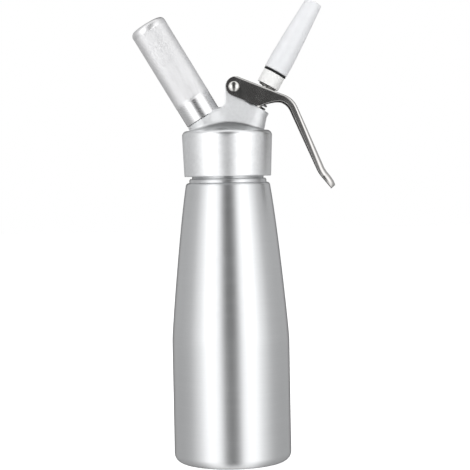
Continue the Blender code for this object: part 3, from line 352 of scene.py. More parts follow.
def fineNoise(tree, scale):
    return scaledNoise(tree, scale, 3.0, 0.6)


def spread(tree, value, low, high):
    return addNode(tree, "ShaderNodeMapRange", {
        "Value": value, "From Min": 0.3, "From Max": 0.7, "To Min": low, "To Max": high}).outputs[0]


def toned(tree, value, looks):
    # the finish's own colour, a little darker where the noise is low
    ramp = addNode(tree, "ShaderNodeValToRGB", {0: value})
    dark = tuple(channel * looks["darkest"] for channel in looks["colour"])
    setRamp(ramp, [(0.3, dark), (0.7, looks["colour"])])
    return ramp.outputs[0]


def brushedFinish(name, looks):
    # lines run round the piece's own Z axis, and gloss spreads across them
    material, tree, shader = newFinish(name, looks, 1.0)
    shader.inputs["Anisotropic"].default_value = looks["anisotropy"]
    shader.inputs["Anisotropic Rotation"].default_value = 0.25
    tangent = addNode(tree, "ShaderNodeTangent", direction_type="RADIAL", axis="Z")
    tree.links.new(tangent.outputs[0], shader.inputs["Tangent"])
    fine = fineNoise(tree, looks["fineScale"])
    lines = blended(tree, looks["broadShare"], fine, scaledNoise(tree, looks["broadScale"]))
    rough = spread(tree, lines, *looks["roughSpread"])
    joinFinish(tree, shader, looks, rough, toned(tree, lines, looks), fine)
    return material


def turnedShare(tree, turned):
    # 0 to 1 between two heights along an axis of the piece
    place = addNode(tree, "ShaderNodeTexCoord").outputs["Object"]
    away = vectorNode(tree, "SUBTRACT", place, tuple(Vector(turned["point"]) * mm))
    along = vectorNode(tree, "DOT_PRODUCT", away, tuple(turned["axis"]))
    return between(tree, along, *[height * mm for height in turned["between"]])


def headZones(tree, rough, zones):
    # the collar and the dome are turned, and what stands proud of them is as cast; this also gives a painted
    # shade that darkens the dome's colour near the lug
    place = addNode(tree, "ShaderNodeTexCoord").outputs["Object"]
    parts = addNode(tree, "ShaderNodeSeparateXYZ", {0: place}).outputs
    height = mathNode(tree, "SUBTRACT", parts["Z"], axisPlaces["ceiling"] * mm)
    flat = vectorNode(tree, "MULTIPLY", place, (1, 1, 0))
    reach = vectorNode(tree, "DOT_PRODUCT", flat, flat)  # the distance from the axis, squared
    curve = zones["domeFootDrop"] * mm / (zones["domeFootRadius"] * mm) ** 2
    fall = mathNode(tree, "MULTIPLY_ADD", reach, curve, height)
    proud = between(tree, fall, *[(zones["domeRise"] + rise) * mm for rise in zones["proud"]])
    overCollar = between(tree, height, *[edge * mm for edge in zones["overCollar"]])
    inside = between(tree, reach, *[(edge * mm) ** 2 for edge in zones["domeEdge"]])
    cast = mathNode(tree, "MINIMUM", proud, mathNode(tree, "MAXIMUM", overCollar, inside))
    lines = fineNoise(tree, turnedScale)
    collar = spread(tree, lines, *zones["collarSpread"])
    dome = spread(tree, lines, *zones["domeSpread"])
    high = between(tree, height, *[edge * mm for edge in zones["collarFace"]])
    # painted shade: the dome's colour is darkened close to the lug, standing in for the dark reflection and
    # shade at the lug's foot
    near = between(tree, reach, *[(edge * mm) ** 2 for edge in zones["paintedShadeRing"]])
    domeShadeShare = mathNode(tree, "MULTIPLY", mathNode(tree, "SUBTRACT", 1.0, cast), near)
    shade = addNode(tree, "ShaderNodeMapRange", {"Value": domeShadeShare, "To Min": 1.0, "To Max": zones["paintedShadeDeepest"]})
    return blended(tree, cast, blended(tree, high, collar, dome), rough), shade.outputs[0]


def grainedFinish(name, looks, metallic, turned=None, zones=None):
    # an even grain: cast, moulded, plated or rubber surfaces; turned parts of a piece are smoother
    material, tree, shader = newFinish(name, looks, metallic)
    grain = fineNoise(tree, (looks["grain"],) * 3)
    cloud = scaledNoise(tree, (looks["cloud"],) * 3)
    rough = spread(tree, cloud, *looks["roughSpread"])
    colour = toned(tree, cloud, looks)
    if turned:
        smooth = spread(tree, fineNoise(tree, turnedScale), *turned["roughSpread"])
        rough = blended(tree, turnedShare(tree, turned), smooth, rough)
    if zones:
        rough, shade = headZones(tree, rough, zones)
        # painted shade: the head's colour is darkened on the dome near the lug
        colour = vectorNode(tree, "MULTIPLY", colour, shade)
    joinFinish(tree, shader, looks, rough, colour, grain)
    return material


bottleLooks = {
    "colour": (0.74, 0.75, 0.76), "roughness": 0.4, "anisotropy": 0.78, "fineScale": (45, 45, 2600),
    "broadScale": (14, 14, 2600 / 9), "broadShare": 0.4, "roughSpread": (0.36, 0.44), "darkest": 0.94,
    "bump": 0.35, "bumpDepth": 0.012,
}
ringLooks = {
    "colour": (0.95, 0.95, 0.94), "roughness": 0.6, "roughSpread": (0.56, 0.64), "grain": 2600, "cloud": 240,
    "darkest": 0.93, "bump": 0.35, "bumpDepth": 0.015,
}
holderLooks = {
    "colour": (0.84, 0.84, 0.85), "roughness": 0.42, "roughSpread": (0.4, 0.46), "grain": 2600, "cloud": 90,
    "darkest": 0.95, "bump": 0.3, "bumpDepth": 0.02,
}
holderTurned = {
    "point": axisPlaces["mouthPoint"], "axis": holderFrame.to_3x3() @ Vector((0, 0, 1)),
    "between": (13.4, 13.7), "roughSpread": (0.25, 0.3),
}
castLooks = {
    "colour": (0.87, 0.88, 0.89), "roughness": 0.6, "roughSpread": (0.56, 0.62), "grain": 3200, "cloud": 420,
    "darkest": 0.93, "bump": 0.35, "bumpDepth": 0.02,
}
# the last two entries give the painted shade that darkens the dome's colour near the lug
castZones = {
    "domeRise": 14.5, "domeFootDrop": 7.1, "domeFootRadius": 26.2, "proud": (0.3, 1.3),
    "overCollar": (8.9, 9.5), "domeEdge": (25.8, 25.4), "collarFace": (3.6, 5.6),
    "collarSpread": (0.38, 0.46), "domeSpread": (0.3, 0.36), "paintedShadeRing": (26.2, 17.0), "paintedShadeDeepest": 0.3,
}
leverLooks = {
    "colour": (0.53, 0.52, 0.51), "roughness": 0.18, "roughSpread": (0.16, 0.21), "grain": 1500, "cloud": 160,
    "darkest": 0.94, "bump": 0.1, "bumpDepth": 0.01,
}
# painted shade: the adapter's steel is coloured dark, standing in for the shade in the gap under the tip ring
adapterShadeLooks = {
    "colour": (0.2, 0.195, 0.19), "roughness": 0.3, "roughSpread": (0.26, 0.36), "grain": 2000, "cloud": 200,
    "darkest": 0.85, "bump": 0.2, "bumpDepth": 0.01,
}
polishedLooks = {
    "colour": (0.62, 0.61, 0.59), "roughness": 0.14, "roughSpread": (0.11, 0.18), "grain": 1500, "cloud": 160,
    "darkest": 0.94, "bump": 0.12, "bumpDepth": 0.01,
}
springLooks = {
    "colour": (0.42, 0.42, 0.43), "roughness": 0.3, "roughSpread": (0.25, 0.36), "grain": 2500, "cloud": 300,
    "darkest": 0.85, "bump": 0.25, "bumpDepth": 0.01,
}
chargerLooks = {
    "colour": (0.6, 0.6, 0.61), "roughness": 0.3, "roughSpread": (0.26, 0.36), "grain": 1200, "cloud": 150,
    "darkest": 0.9, "bump": 0.2, "bumpDepth": 0.01,
}
whiteLooks = {
    "colour": (0.86, 0.87, 0.89), "roughness": 0.35, "roughSpread": (0.32, 0.4), "grain": 1500, "cloud": 120,
    "darkest": 0.985, "bump": 0.15, "bumpDepth": 0.01,
    "extra": {"Subsurface Weight": 0.35, "Subsurface Scale": 0.002, "Subsurface Radius": (1.0, 1.0, 1.0)},
}
greyLooks = {
    "colour": (0.4, 0.41, 0.42), "roughness": 0.5, "roughSpread": (0.46, 0.56), "grain": 2200, "cloud": 160,
    "darkest": 0.92, "bump": 0.3, "bumpDepth": 0.02,
}
rubberLooks = {
    "colour": (0.012, 0.012, 0.013), "roughness": 0.55, "roughSpread": (0.5, 0.65), "grain": 2600,
    "cloud": 200, "darkest": 0.7, "bump": 0.4, "bumpDepth": 0.02, "extra": {"Specular IOR Level": 0.25},
}
siliconeLooks = {
    "colour": (0.65, 0.2, 0.16), "roughness": 0.5, "roughSpread": (0.42, 0.55), "grain": 1800, "cloud": 160,
    "darkest": 0.92, "bump": 0.25, "bumpDepth": 0.02,
}

bottleBrushed = brushedFinish("bottleBrushed", bottleLooks)
ringSatin = grainedFinish("ringSatin", ringLooks, 0.15)
holderKnurled = grainedFinish("holderKnurled", holderLooks, 1.0, holderTurned)
castSatin = grainedFinish("castSatin", castLooks, 1.0, zones=castZones)
leverSteel = grainedFinish("leverSteel", leverLooks, 1.0)
adapterPaintedShadeSteel = grainedFinish("adapterPaintedShadeSteel", adapterShadeLooks, 1.0)
polishedSteel = grainedFinish("polishedSteel", polishedLooks, 1.0)
springWire = grainedFinish("springWire", springLooks, 1.0)
chargerPlated = grainedFinish("chargerPlated", chargerLooks, 1.0)
whitePlastic = grainedFinish("whitePlastic", whiteLooks, 0.0)
greyPlastic = grainedFinish("greyPlastic", greyLooks, 0.0)
blackRubber = grainedFinish("blackRubber", rubberLooks, 0.0)
redSilicone = grainedFinish("redSilicone", siliconeLooks, 0.0)
print("finishes mixed")


# helpers for the pieces

tiny = 1e-6
ridgeSink = 0.5  # a thread's ridge reaches this far into its wall


def addPiece(name, mesh, place, body, node, finish, sharp=35, weigh=True):
    # the mesh is moved to its place, so that every piece keeps the whole object's axes
    mesh.transform(place)
    piece = addObject(name, mesh)
    mesh.materials.clear()
    mesh.materials.append(finish)
    mesh.shade_smooth()
    mesh.set_sharp_from_angle(angle=math.radians(sharp))
    if weigh:
        even = piece.modifiers.new("evenNormals", "WEIGHTED_NORMAL")
        even.keep_sharp = True
    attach(piece, body)
    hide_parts(node)
    return piece


def roundCorners(outline, size, steps=4, flattest=160, longest=0.45):
    # small rounds on every corner of a closed outline, apart from flat ones and those on the axis
    made = []
    for spot, corner in enumerate(outline):
        here = Vector(corner)
        back = Vector(outline[spot - 1]) - here
        on = Vector(outline[(spot + 1) % len(outline)]) - here
        plain = abs(corner[0]) < tiny or back.length < tiny or on.length < tiny
        if plain or back.angle(on) > math.radians(flattest):
            made.append(tuple(here))
            continue
        opening = back.angle(on)
        reach = min(size / math.tan(opening / 2), longest * min(back.length, on.length))
        radius = reach * math.tan(opening / 2)
        back.normalize()
        on.normalize()
        middle = here + (back + on).normalized() * radius / math.sin(opening / 2)
        first = here + back * reach - middle
        last = here + on * reach - middle
        start = math.atan2(first.y, first.x)
        turn = math.atan2(last.y, last.x) - start
        turn = (turn + math.pi) % math.tau - math.pi
        for step in range(steps + 1):
            angle = start + turn * step / steps
            made.append((middle.x + radius * math.cos(angle), middle.y + radius * math.sin(angle)))
    return made


def arcPoints(centre, radius, start, end, steps):
    angles = [math.radians(start + (end - start) * step / steps) for step in range(steps + 1)]
    return [(centre[0] + radius * math.cos(a), centre[1] + radius * math.sin(a)) for a in angles]


def boreOutline(steps, top=0):
    # a stepped bore closed on its axis, from rows of radius, start and end
    outline = [(0, top + steps[0][1])]
    for radius, start, end in steps:
        outline += [(radius, top + start), (radius, top + end)]
    return outline + [(0, top + steps[-1][2])]


def lathe(name, outline, sides, offsets=None):
    # a closed outline of (radius, height) turned round Z; offsets(ring, side) moves a point outwards
    shape = bmesh.new()
    rings = []
    for number, (radius, height) in enumerate(outline):
        if radius < tiny:
            rings.append([shape.verts.new((0, 0, height * mm))])
            continue
        ring = []
        for side in range(sides):
            angle = math.tau * side / sides
            reach = radius + (offsets(number, side) if offsets else 0)
            x, y = reach * math.cos(angle), reach * math.sin(angle)
            ring.append(shape.verts.new((x * mm, y * mm, height * mm)))
        rings.append(ring)
    for low, high in zip(rings, rings[1:] + rings[:1]):
        if len(low) == 1 and len(high) == 1:
            continue
        for side in range(sides):
            after = (side + 1) % sides
            corners = [low[side % len(low)], low[after % len(low)]]
            corners += [high[after % len(high)], high[side % len(high)]]
            corners = [c for spot, c in enumerate(corners) if c is not corners[spot - 1]]
            shape.faces.new(corners)
    return meshFrom(name, shape)


def helixRidge(name, wall, crest, first, turns, thread, sides):
    # a right-handed thread ridge on a wall, outside it or inside a bore
    sunk = wall - math.copysign(ridgeSink, crest - wall)
    root = thread["root"] + (thread["root"] - thread["top"]) * ridgeSink / abs(crest - wall)
    top = thread["top"]
    section = ((sunk, -root / 2), (crest, -top / 2), (crest, top / 2), (sunk, root / 2))
    rows = []
    for step in range(round(turns * sides) + 1):
        angle = math.tau * (step + 0.5) / sides
        height = first + thread["pitch"] * step / sides
        rows.append([(r * math.cos(angle), r * math.sin(angle), height + rise) for r, rise in section])
    return skinRows(name, rows)


def slabMesh(name, layers):
    # layers of matching outlines: each is (y, [(x, z), ...])
    return skinRows(name, [[(x, y, z) for x, z in outline] for y, outline in layers])


def appliedMesh(thing):
    # the mesh as its modifiers leave it
    bpy.context.view_layer.update()
    graph = bpy.context.evaluated_depsgraph_get()
    return bpy.data.meshes.new_from_object(thing.evaluated_get(graph))


def carve(name, base, *steps):
    # base mesh with ("UNION" or "DIFFERENCE", mesh) applied in turn
    blank = addObject(name + "Base", base)
    spare = [blank]
    for number, (operation, mesh) in enumerate(steps):
        spare.append(addObject(f"{name}Step{number}", mesh))
        modifier = blank.modifiers.new(f"step{number}", "BOOLEAN")
        modifier.operation = operation
        modifier.solver = "EXACT"
        modifier.object = spare[-1]
    made = appliedMesh(blank)
    made.name = name
    for thing in spare:
        bpy.data.objects.remove(thing, do_unlink=True)
    return made


def moved(mesh, matrix):
    mesh.transform(matrix)
    return mesh


def addTurnedSet(rows, extras):
    # small turned pieces, some with a ridge or a hole added
    for name, outline, corner, sides, place, body, node, slotName, finish in rows:
        mesh = lathe(name, roundCorners(outline, corner) if corner else outline, sides)
        if name in extras:
            mesh = carve(name, mesh, extras[name])
        addPiece(name, mesh, place, body, node, finish)


# bottle: pressed, tapered and brushed round

neckThread = {"pitch": 4.0, "root": 2.0, "top": 1.0}
bottleSizes = {
    "baseRadius": 39.4, "baseCorner": 6.0, "kneeHeight": 82.0, "shoulderRadius": 28.4,
    "shoulderHeight": 185.3, "shoulderRound": 2.5, "taperEase": 1.15, "taperMain": 0.93, "taperPower": 6,
    "wall": 1.6, "baseThickness": 2.6, "grooveInner": 16.0, "grooveOuter": 28.0, "grooveDepth": 0.8,
    "neckRadius": 24.0, "neckBore": 20.5, "rim": 210.9, "rimEdge": 0.6, "ringRadius": 25.9,
    "ringTop": 190.5, "ringEdge": (0.8, 1.0), "threadHeight": 1.2, "threadDrop": 5, "threadTurns": 2.25,
    "sideStart": 4, "neckStep": 2, "sides": 160,
}


def bottleSide(sizes, height):
    if height <= sizes["kneeHeight"]:
        return sizes["baseRadius"]
    share = (height - sizes["kneeHeight"]) / (sizes["shoulderHeight"] - sizes["kneeHeight"])
    main = sizes["taperMain"]
    fall = main * share ** sizes["taperEase"] + (1 - main) * share ** sizes["taperPower"]
    return sizes["baseRadius"] - (sizes["baseRadius"] - sizes["shoulderRadius"]) * fall


def bottleMesh(s):
    groove = s["grooveDepth"]
    corner = s["baseCorner"]
    outline = [(0, 0), (s["grooveInner"], 0), (s["grooveInner"] + groove, groove)]
    outline += [(s["grooveOuter"] - groove, groove), (s["grooveOuter"], 0)]
    outline += arcPoints((s["baseRadius"] - corner, corner), corner, -90, 0, 14)
    low, high = corner + s["sideStart"], s["shoulderHeight"]
    for step in range(61):
        height = low + (high - low) * step / 60
        outline.append((bottleSide(s, height), height))
    outline += arcPoints((s["shoulderRadius"] - s["shoulderRound"], high), s["shoulderRound"], 12, 80, 6)
    across, down = s["ringEdge"]
    outline += [(s["ringRadius"], high + s["shoulderRound"]), (s["ringRadius"], s["ringTop"] - down)]
    outline += [(s["ringRadius"] - across, s["ringTop"]), (s["neckRadius"], s["ringTop"])]
    edge = s["rimEdge"]
    outline += [(s["neckRadius"], s["rim"] - edge), (s["neckRadius"] - edge, s["rim"])]
    outline += [(s["neckBore"] + edge, s["rim"]), (s["neckBore"], s["rim"] - edge)]
    outline += [(s["neckBore"], s["ringTop"] - s["neckStep"])]
    top = high - s["shoulderRound"]
    for step in range(13):
        height = top - (top - s["kneeHeight"]) * step / 12
        outline.append((bottleSide(s, height) - s["wall"], height))
    inner = corner - s["wall"]
    outline += arcPoints((s["baseRadius"] - corner, s["baseThickness"] + inner), inner, 0, -90, 8)
    outline.append((0, s["baseThickness"]))
    first = s["rim"] - s["threadDrop"] - neckThread["pitch"] * s["threadTurns"]
    crest = s["neckRadius"] + s["threadHeight"]
    thread = helixRidge("bottleThread", s["neckRadius"], crest, first, s["threadTurns"], neckThread,
                        s["sides"])
    return carve("bottleShell", lathe("bottleShell", outline, s["sides"]), ("UNION", thread))


addPiece("bottle_shell", bottleMesh(bottleSizes), bottleFrame, "bottle", "bottle",
         bottleBrushed, 40)
print("bottle made")


# head: one casting, its parts blended into each other as cast metal is

headSizes = {
    "collarDrop": 22.0, "collarTop": 5.2, "collarTopRadius": 30.2, "collarBottomRadius": 29.1,
    "collarRound": 3.4, "edge": 0.5, "mouthEdge": 0.3, "domeRise": 14.5, "domeFootDrop": 7.1,
    "domeFootRadius": 26.2, "lugHalf": 9.3, "lugRadius": 6.0, "lugFillet": 4.0, "lugSink": 5.0,
    "bossRadius": 9.6, "bossTop": -12.98, "bossLow": -28.5, "bossStraight": 3.0, "bossFlare": 2.1,
    "bossFlareLength": 6.5, "mouthRadius": 12.2, "mouthLow": -14.0, "pastAxis": -8.0, "blend": 2.4,
    "bossBlend": 0.3, "mouthBlend": 4.5, "mouthSink": 0.3, "bossOverlap": 0.2, "axisDrop": 1.5,
}
# how the voxel mesh is drawn onto the blended shape
settleSizes = {"voxel": 0.55, "rounds": 6, "probe": 0.02, "longestStep": 0.6, "leastSlope": 0.25}
# what is cut out of the casting; the bores are rows of radius, start and end
headBores = {
    "bore": 25.5, "cutSpare": 5, "lipStep": (1.1, 0.6, 1.7), "chamberRadius": 16.0, "chamberWall": 3.0,
    "chamberTopRadius": 12.0, "chamberRise": 4.5, "threadCrest": 24.3, "threadTop": -8.0, "threadTurns": 2.25,
    "pin": [(2.8, -16, 16)],
    "valve": [(6.88, 4, -1.1), (5.58, -1.1, -10.6), (5.0, -10.6, -22.5), (8.0, -22.5, -36)],
    "inlet": [(7.3, 4, -9.3), (5.2, -9.3, -19.8)],
}


def polygonDistance(x, z, corners):
    nearest = np.full(x.shape, 1e9)
    inside = np.zeros(x.shape, bool)
    for (ax, az), (bx, bz) in zip(corners, corners[1:] + corners[:1]):
        ex, ez = bx - ax, bz - az
        wx, wz = x - ax, z - az
        along = np.clip((wx * ex + wz * ez) / (ex * ex + ez * ez), 0, 1)
        dx, dz = wx - along * ex, wz - along * ez
        nearest = np.minimum(nearest, dx * dx + dz * dz)
        if az != bz:
            crosses = ((az > z) != (bz > z)) & (x < ex * (z - az) / ez + ax)
            inside ^= crosses
    away = np.sqrt(nearest)
    return np.where(inside, -away, away)


def inset(corners, size):
    # moves every side of a convex or concave outline inwards by size
    area = sum(a[0] * b[1] - b[0] * a[1] for a, b in zip(corners, corners[1:] + corners[:1]))
    turn = 1 if area > 0 else -1
    made = []
    for spot, corner in enumerate(corners):
        here = Vector(corner)
        before = (here - Vector(corners[spot - 1])).normalized()
        after = (Vector(corners[(spot + 1) % len(corners)]) - here).normalized()
        first = Vector((-before.y, before.x)) * turn
        second = Vector((-after.y, after.x)) * turn
        middle = (first + second).normalized()
        made.append(tuple(here + middle * size / max(middle.dot(first), 0.3)))
    return made


def headOutlines(s):
    bottom, top, inside = -s["collarDrop"], s["collarTop"], s["pastAxis"]
    collar = [(inside, bottom), (s["collarBottomRadius"], bottom)]
    collar += arcPoints((s["collarTopRadius"] - s["collarRound"], top), s["collarRound"], 0, 80, 8)
    foot = s["domeRise"] - s["domeFootDrop"]
    for step in range(13):
        left = 1 - step / 12
        collar.append((s["domeFootRadius"] * left, foot + s["domeFootDrop"] * (1 - left ** 2)))
    collar.append((inside, s["domeRise"]))
    flared = s["bossRadius"] + s["bossFlare"]
    straight = s["bossTop"] - s["bossStraight"]
    boss = [(inside, s["bossLow"]), (flared, s["bossLow"]), (flared, straight - s["bossFlareLength"])]
    boss += [(s["bossRadius"], straight), (s["bossRadius"], s["bossTop"]), (inside, s["bossTop"])]
    mouth = [(inside, s["mouthLow"]), (s["mouthRadius"], s["mouthLow"]), (s["mouthRadius"], 0), (inside, 0)]
    return collar, boss, mouth


def lugOutline(s):
    # in the whole object's (x, z), from the holder's mouth round to the valve boss
    lean = math.radians(-axisPlaces["holderLean"])
    across = Vector((math.cos(lean), math.sin(lean)))
    outwards = Vector((-math.sin(lean), math.cos(lean)))
    tilt = math.radians(axisPlaces["stemLean"])
    valveUp = Vector((math.sin(tilt), math.cos(tilt)))
    valveAcross = Vector((math.cos(tilt), -math.sin(tilt)))
    pin, mouth, stem = [Vector(axisPlaces[name]).xz for name in ("pinPoint", "mouthPoint", "stemPoint")]
    left, right = pin.x - s["lugRadius"], pin.x + s["lugRadius"]
    foot = axisPlaces["ceiling"] + s["domeRise"] - s["lugSink"]
    inside = mouth + across * s["mouthRadius"] / 2 - outwards * s["mouthSink"]
    corner = inside + across * (left - inside.x) / across.x
    turn = math.pi / 2 - lean
    tangent = s["lugFillet"] * math.tan(turn / 2)
    points = [tuple(inside)]
    centre = (left - s["lugFillet"], corner.y + tangent)
    points += arcPoints(centre, s["lugFillet"], -math.degrees(turn), 0, 8)
    points += arcPoints(tuple(pin), s["lugRadius"], 180, 0, 24)
    overlap = s["bossOverlap"]
    bossEdge = stem + valveUp * (s["bossTop"] - overlap) - valveAcross * (s["bossRadius"] - overlap)
    points += [(right, bossEdge.y + 2 * (bossEdge.x - right)), tuple(bossEdge)]
    onAxis = stem + valveUp * (s["bossTop"] - s["axisDrop"])
    points += [tuple(onAxis), (onAxis.x - (onAxis.y - foot) * math.tan(tilt), foot), (inside.x, foot)]
    return points


def smoothest(a, b, reach):
    # the lesser of two distances, rounded off where they meet
    close = np.maximum(reach - np.abs(a - b), 0) / reach
    return np.minimum(a, b) - close * close * reach / 4


def headDistance(points, s, outlines, lug):
    # signed distance of points (n, 3) in millimetres to the blended casting
    collar, boss, mouth = outlines
    edge = s["edge"]

    def turnedPart(matrix, outline, rounding, flatten=None):
        inverse = np.array(matrix.inverted(), float)
        local = points * mm @ inverse[:3, :3].T + inverse[:3, 3]
        local = local / mm
        across = local[:, 1] * (flatten(local[:, 2]) if flatten else 1)
        return polygonDistance(np.hypot(local[:, 0], across), local[:, 2], outline) - rounding

    def bossShare(height):
        # the boss widens along the lug, and stays as deep as the lug
        widened = np.clip((s["bossTop"] - s["bossStraight"] - height) / s["bossFlareLength"], 0, 1)
        return (s["bossRadius"] + s["bossFlare"] * widened) / s["lugHalf"]

    body = turnedPart(headFrame, collar, edge)
    valve = turnedPart(valveFrame, boss, edge, bossShare)
    inlet = turnedPart(holderFrame, mouth, s["mouthEdge"])
    flat = polygonDistance(points[:, 0], points[:, 2], lug)
    side = np.abs(points[:, 1]) - (s["lugHalf"] - edge)
    plate = np.minimum(np.maximum(flat, side), 0)
    plate = plate + np.hypot(np.maximum(flat, 0), np.maximum(side, 0)) - edge
    whole = smoothest(plate, valve, s["bossBlend"])
    whole = smoothest(whole, inlet, s["mouthBlend"])
    return smoothest(whole, body, s["blend"])


def headMesh(s, settle):
    collar, boss, mouth = headOutlines(s)
    lug = lugOutline(s)
    joined = bmesh.new()
    for outline, place in ((collar, headFrame), (boss, valveFrame), (mouth, holderFrame)):
        solid = [(max(radius, 0), height) for radius, height in outline]
        joined.from_mesh(moved(lathe("roughPart", solid, 96), place))
    joined.from_mesh(slabMesh("roughLug", [(-s["lugHalf"], lug), (s["lugHalf"], lug)]))
    blank = addObject("headBlank", meshFrom("headBlank", joined))
    remesh = blank.modifiers.new("voxels", "REMESH")
    remesh.mode = "VOXEL"
    remesh.voxel_size = settle["voxel"] * mm
    mesh = appliedMesh(blank)
    bpy.data.objects.remove(blank, do_unlink=True)
    points = np.zeros(len(mesh.vertices) * 3)
    mesh.vertices.foreach_get("co", points)
    points = points.reshape(-1, 3) / mm
    outlines = [inset(collar, s["edge"]), inset(boss, s["edge"]), inset(mouth, s["mouthEdge"])]
    thinLug = inset(lug, s["edge"])
    probe = settle["probe"]
    for _ in range(settle["rounds"]):
        here = headDistance(points, s, outlines, thinLug)
        beside = [headDistance(points + probe * axis, s, outlines, thinLug) for axis in np.eye(3)]
        slope = np.stack([there - here for there in beside], axis=1) / probe
        size = np.maximum((slope * slope).sum(1), settle["leastSlope"])
        step = np.clip(here, -settle["longestStep"], settle["longestStep"]) / size
        points = points - slope * step[:, None]
    mesh.vertices.foreach_set("co", (points * mm).astype(np.float32).ravel())
    mesh.update()
    return mesh


def headCuts(s, bottom):
    wide, lip, slope = s["lipStep"]
    below = bottom - s["cutSpare"]
    cavity = [(0, below), (s["bore"] + wide, below), (s["bore"] + wide, bottom + lip)]
    cavity += [(s["bore"], bottom + slope), (s["bore"], 0), (s["chamberRadius"], 0)]
    cavity += [(s["chamberRadius"], s["chamberWall"]), (s["chamberTopRadius"], s["chamberRise"])]
    cavity += [(0, s["chamberRise"])]
    valve = boreOutline(s["valve"], headSizes["bossTop"])
    first = s["threadTop"] - neckThread["pitch"] * (s["threadTurns"] + 0.5)
    thread = helixRidge("headThread", s["bore"], s["threadCrest"], first, s["threadTurns"], neckThread, 96)
    return (
        ("DIFFERENCE", moved(lathe("cavityCut", cavity, 128), headFrame)),
        ("DIFFERENCE", moved(lathe("valveCut", valve, 48), valveFrame)),
        ("DIFFERENCE", moved(lathe("inletCut", boreOutline(s["inlet"]), 48), holderFrame)),
        ("DIFFERENCE", moved(lathe("pinCut", boreOutline(s["pin"]), 32), pinFrame)),
        ("UNION", moved(thread, headFrame)),
    )


headBlank = headMesh(headSizes, settleSizes)
headCasting = carve("headCasting", headBlank, *headCuts(headBores, -headSizes["collarDrop"]))
addPiece("head_casting", headCasting, Matrix.Identity(4), "head", "head", castSatin, 40,
         False)
print("head made, faces:", len(headCasting.polygons))


# lever: folded from sheet, polished

leverSizes = {
    "webRise": 7.1, "sheet": 1.5, "plateDepth": 13.1, "plateReach": 20.1, "endRadius": 6.6, "endBack": 5.6,
    "plateOuter": 11.7, "sweepLength": 13.5, "sweepPower": 1.5, "webStart": 4.2, "webLength": 39.85,
    "bendAngle": 44.4, "bendRadius": 15.0, "handleLength": 51.8, "handleDepth": 4.6, "handleHalf": 6.3,
    "handleTaper": 60.0, "taperPower": 1.5, "flareAngle": -15.7, "flareRadius": 18.0, "flareLength": 12.4,
    "tipRound": 9.6, "tipHalf": 3.7, "tipSink": 1.3, "plateCorner": 1.6, "handleCorner": 3.3, "edge": 0.22,
    "guard": 0.25, "stemReach": 20.4, "slotHalf": 4.0, "slotBack": 1.6, "slotFront": 0.4, "slotDepth": 5.5,
    "webGap": 0.5, "cutSpare": 4.0, "pinHole": [(2.8, -16, 16)],
}


def leverStations(s):
    stations = []
    place = Vector((-s["endBack"] - 4, s["webRise"]))
    heading = 0.0
    run = place.x
    stations.append((place.copy(), heading, run))
    bendTangent = s["bendRadius"] * math.tan(math.radians(s["bendAngle"]) / 2)
    flareTangent = s["flareRadius"] * math.tan(math.radians(abs(s["flareAngle"])) / 2)
    moves = [
        ("go", s["plateReach"] - place.x, 0, 12),
        ("go", s["sweepLength"], 0, 16),
        ("go", s["webLength"] - bendTangent - s["plateReach"] - s["sweepLength"], 0, 2),
        ("bend", s["bendAngle"], s["bendRadius"], 16),
        ("go", s["handleLength"] - bendTangent - flareTangent, 0, 16),
        ("bend", s["flareAngle"], s["flareRadius"], 10),
        ("go", s["flareLength"] - flareTangent - s["tipRound"], 0, 3),
        ("ease", s["tipRound"], 0, 16),
    ]
    for kind, amount, radius, steps in moves:
        for step in range(steps):
            if kind != "bend":
                length = amount / steps
                if kind == "ease":
                    # closer together towards the end
                    quarter = math.pi / 2 / steps
                    length = amount * (math.sin(quarter * (step + 1)) - math.sin(quarter * step))
                place = place + Vector((math.cos(heading), -math.sin(heading))) * length
                run += length
            else:
                turn = math.radians(amount) / steps
                heading += turn / 2
                chord = 2 * radius * math.sin(abs(turn) / 2)
                place = place + Vector((math.cos(heading), -math.sin(heading))) * chord
                heading += turn / 2
                run += radius * abs(turn)
            stations.append((place.copy(), heading, run))
    return stations


def channelSection(half, depth, corner, s):
    # (across, down) points round the folded sheet, with small rounds on the sheet's own edges
    edge = s["edge"]
    sheet = s["sheet"]
    guard = s["guard"]

    def rounded(across, start, end, radius):
        # a corner with a point on the flat at each side of it, which keeps the flats flat
        points = arcPoints((across, -corner), radius, start, end, 7)
        (x, z), (farX, farZ) = points[0], points[-1]
        inwards = guard if across < 0 else -guard
        near = (x, z - guard) if start in (0, 180) else (x + inwards, z)
        far = (farX, farZ - guard) if end in (0, 180) else (farX + inwards, farZ)
        return [near, *points, far]

    points = [(-half, -depth + edge)] + rounded(-half + corner, 180, 90, corner)
    points += rounded(half - corner, 90, 0, corner)
    points += [(half, -depth + edge), (half - edge, -depth), (half - sheet + edge, -depth)]
    points += [(half - sheet, -depth + edge)]
    points += rounded(half - corner, 0, 90, corner - sheet)
    points += rounded(-half + corner, 90, 180, corner - sheet)
    points += [(-half + sheet, -depth + edge), (-half + sheet - edge, -depth), (-half + edge, -depth)]
    return points


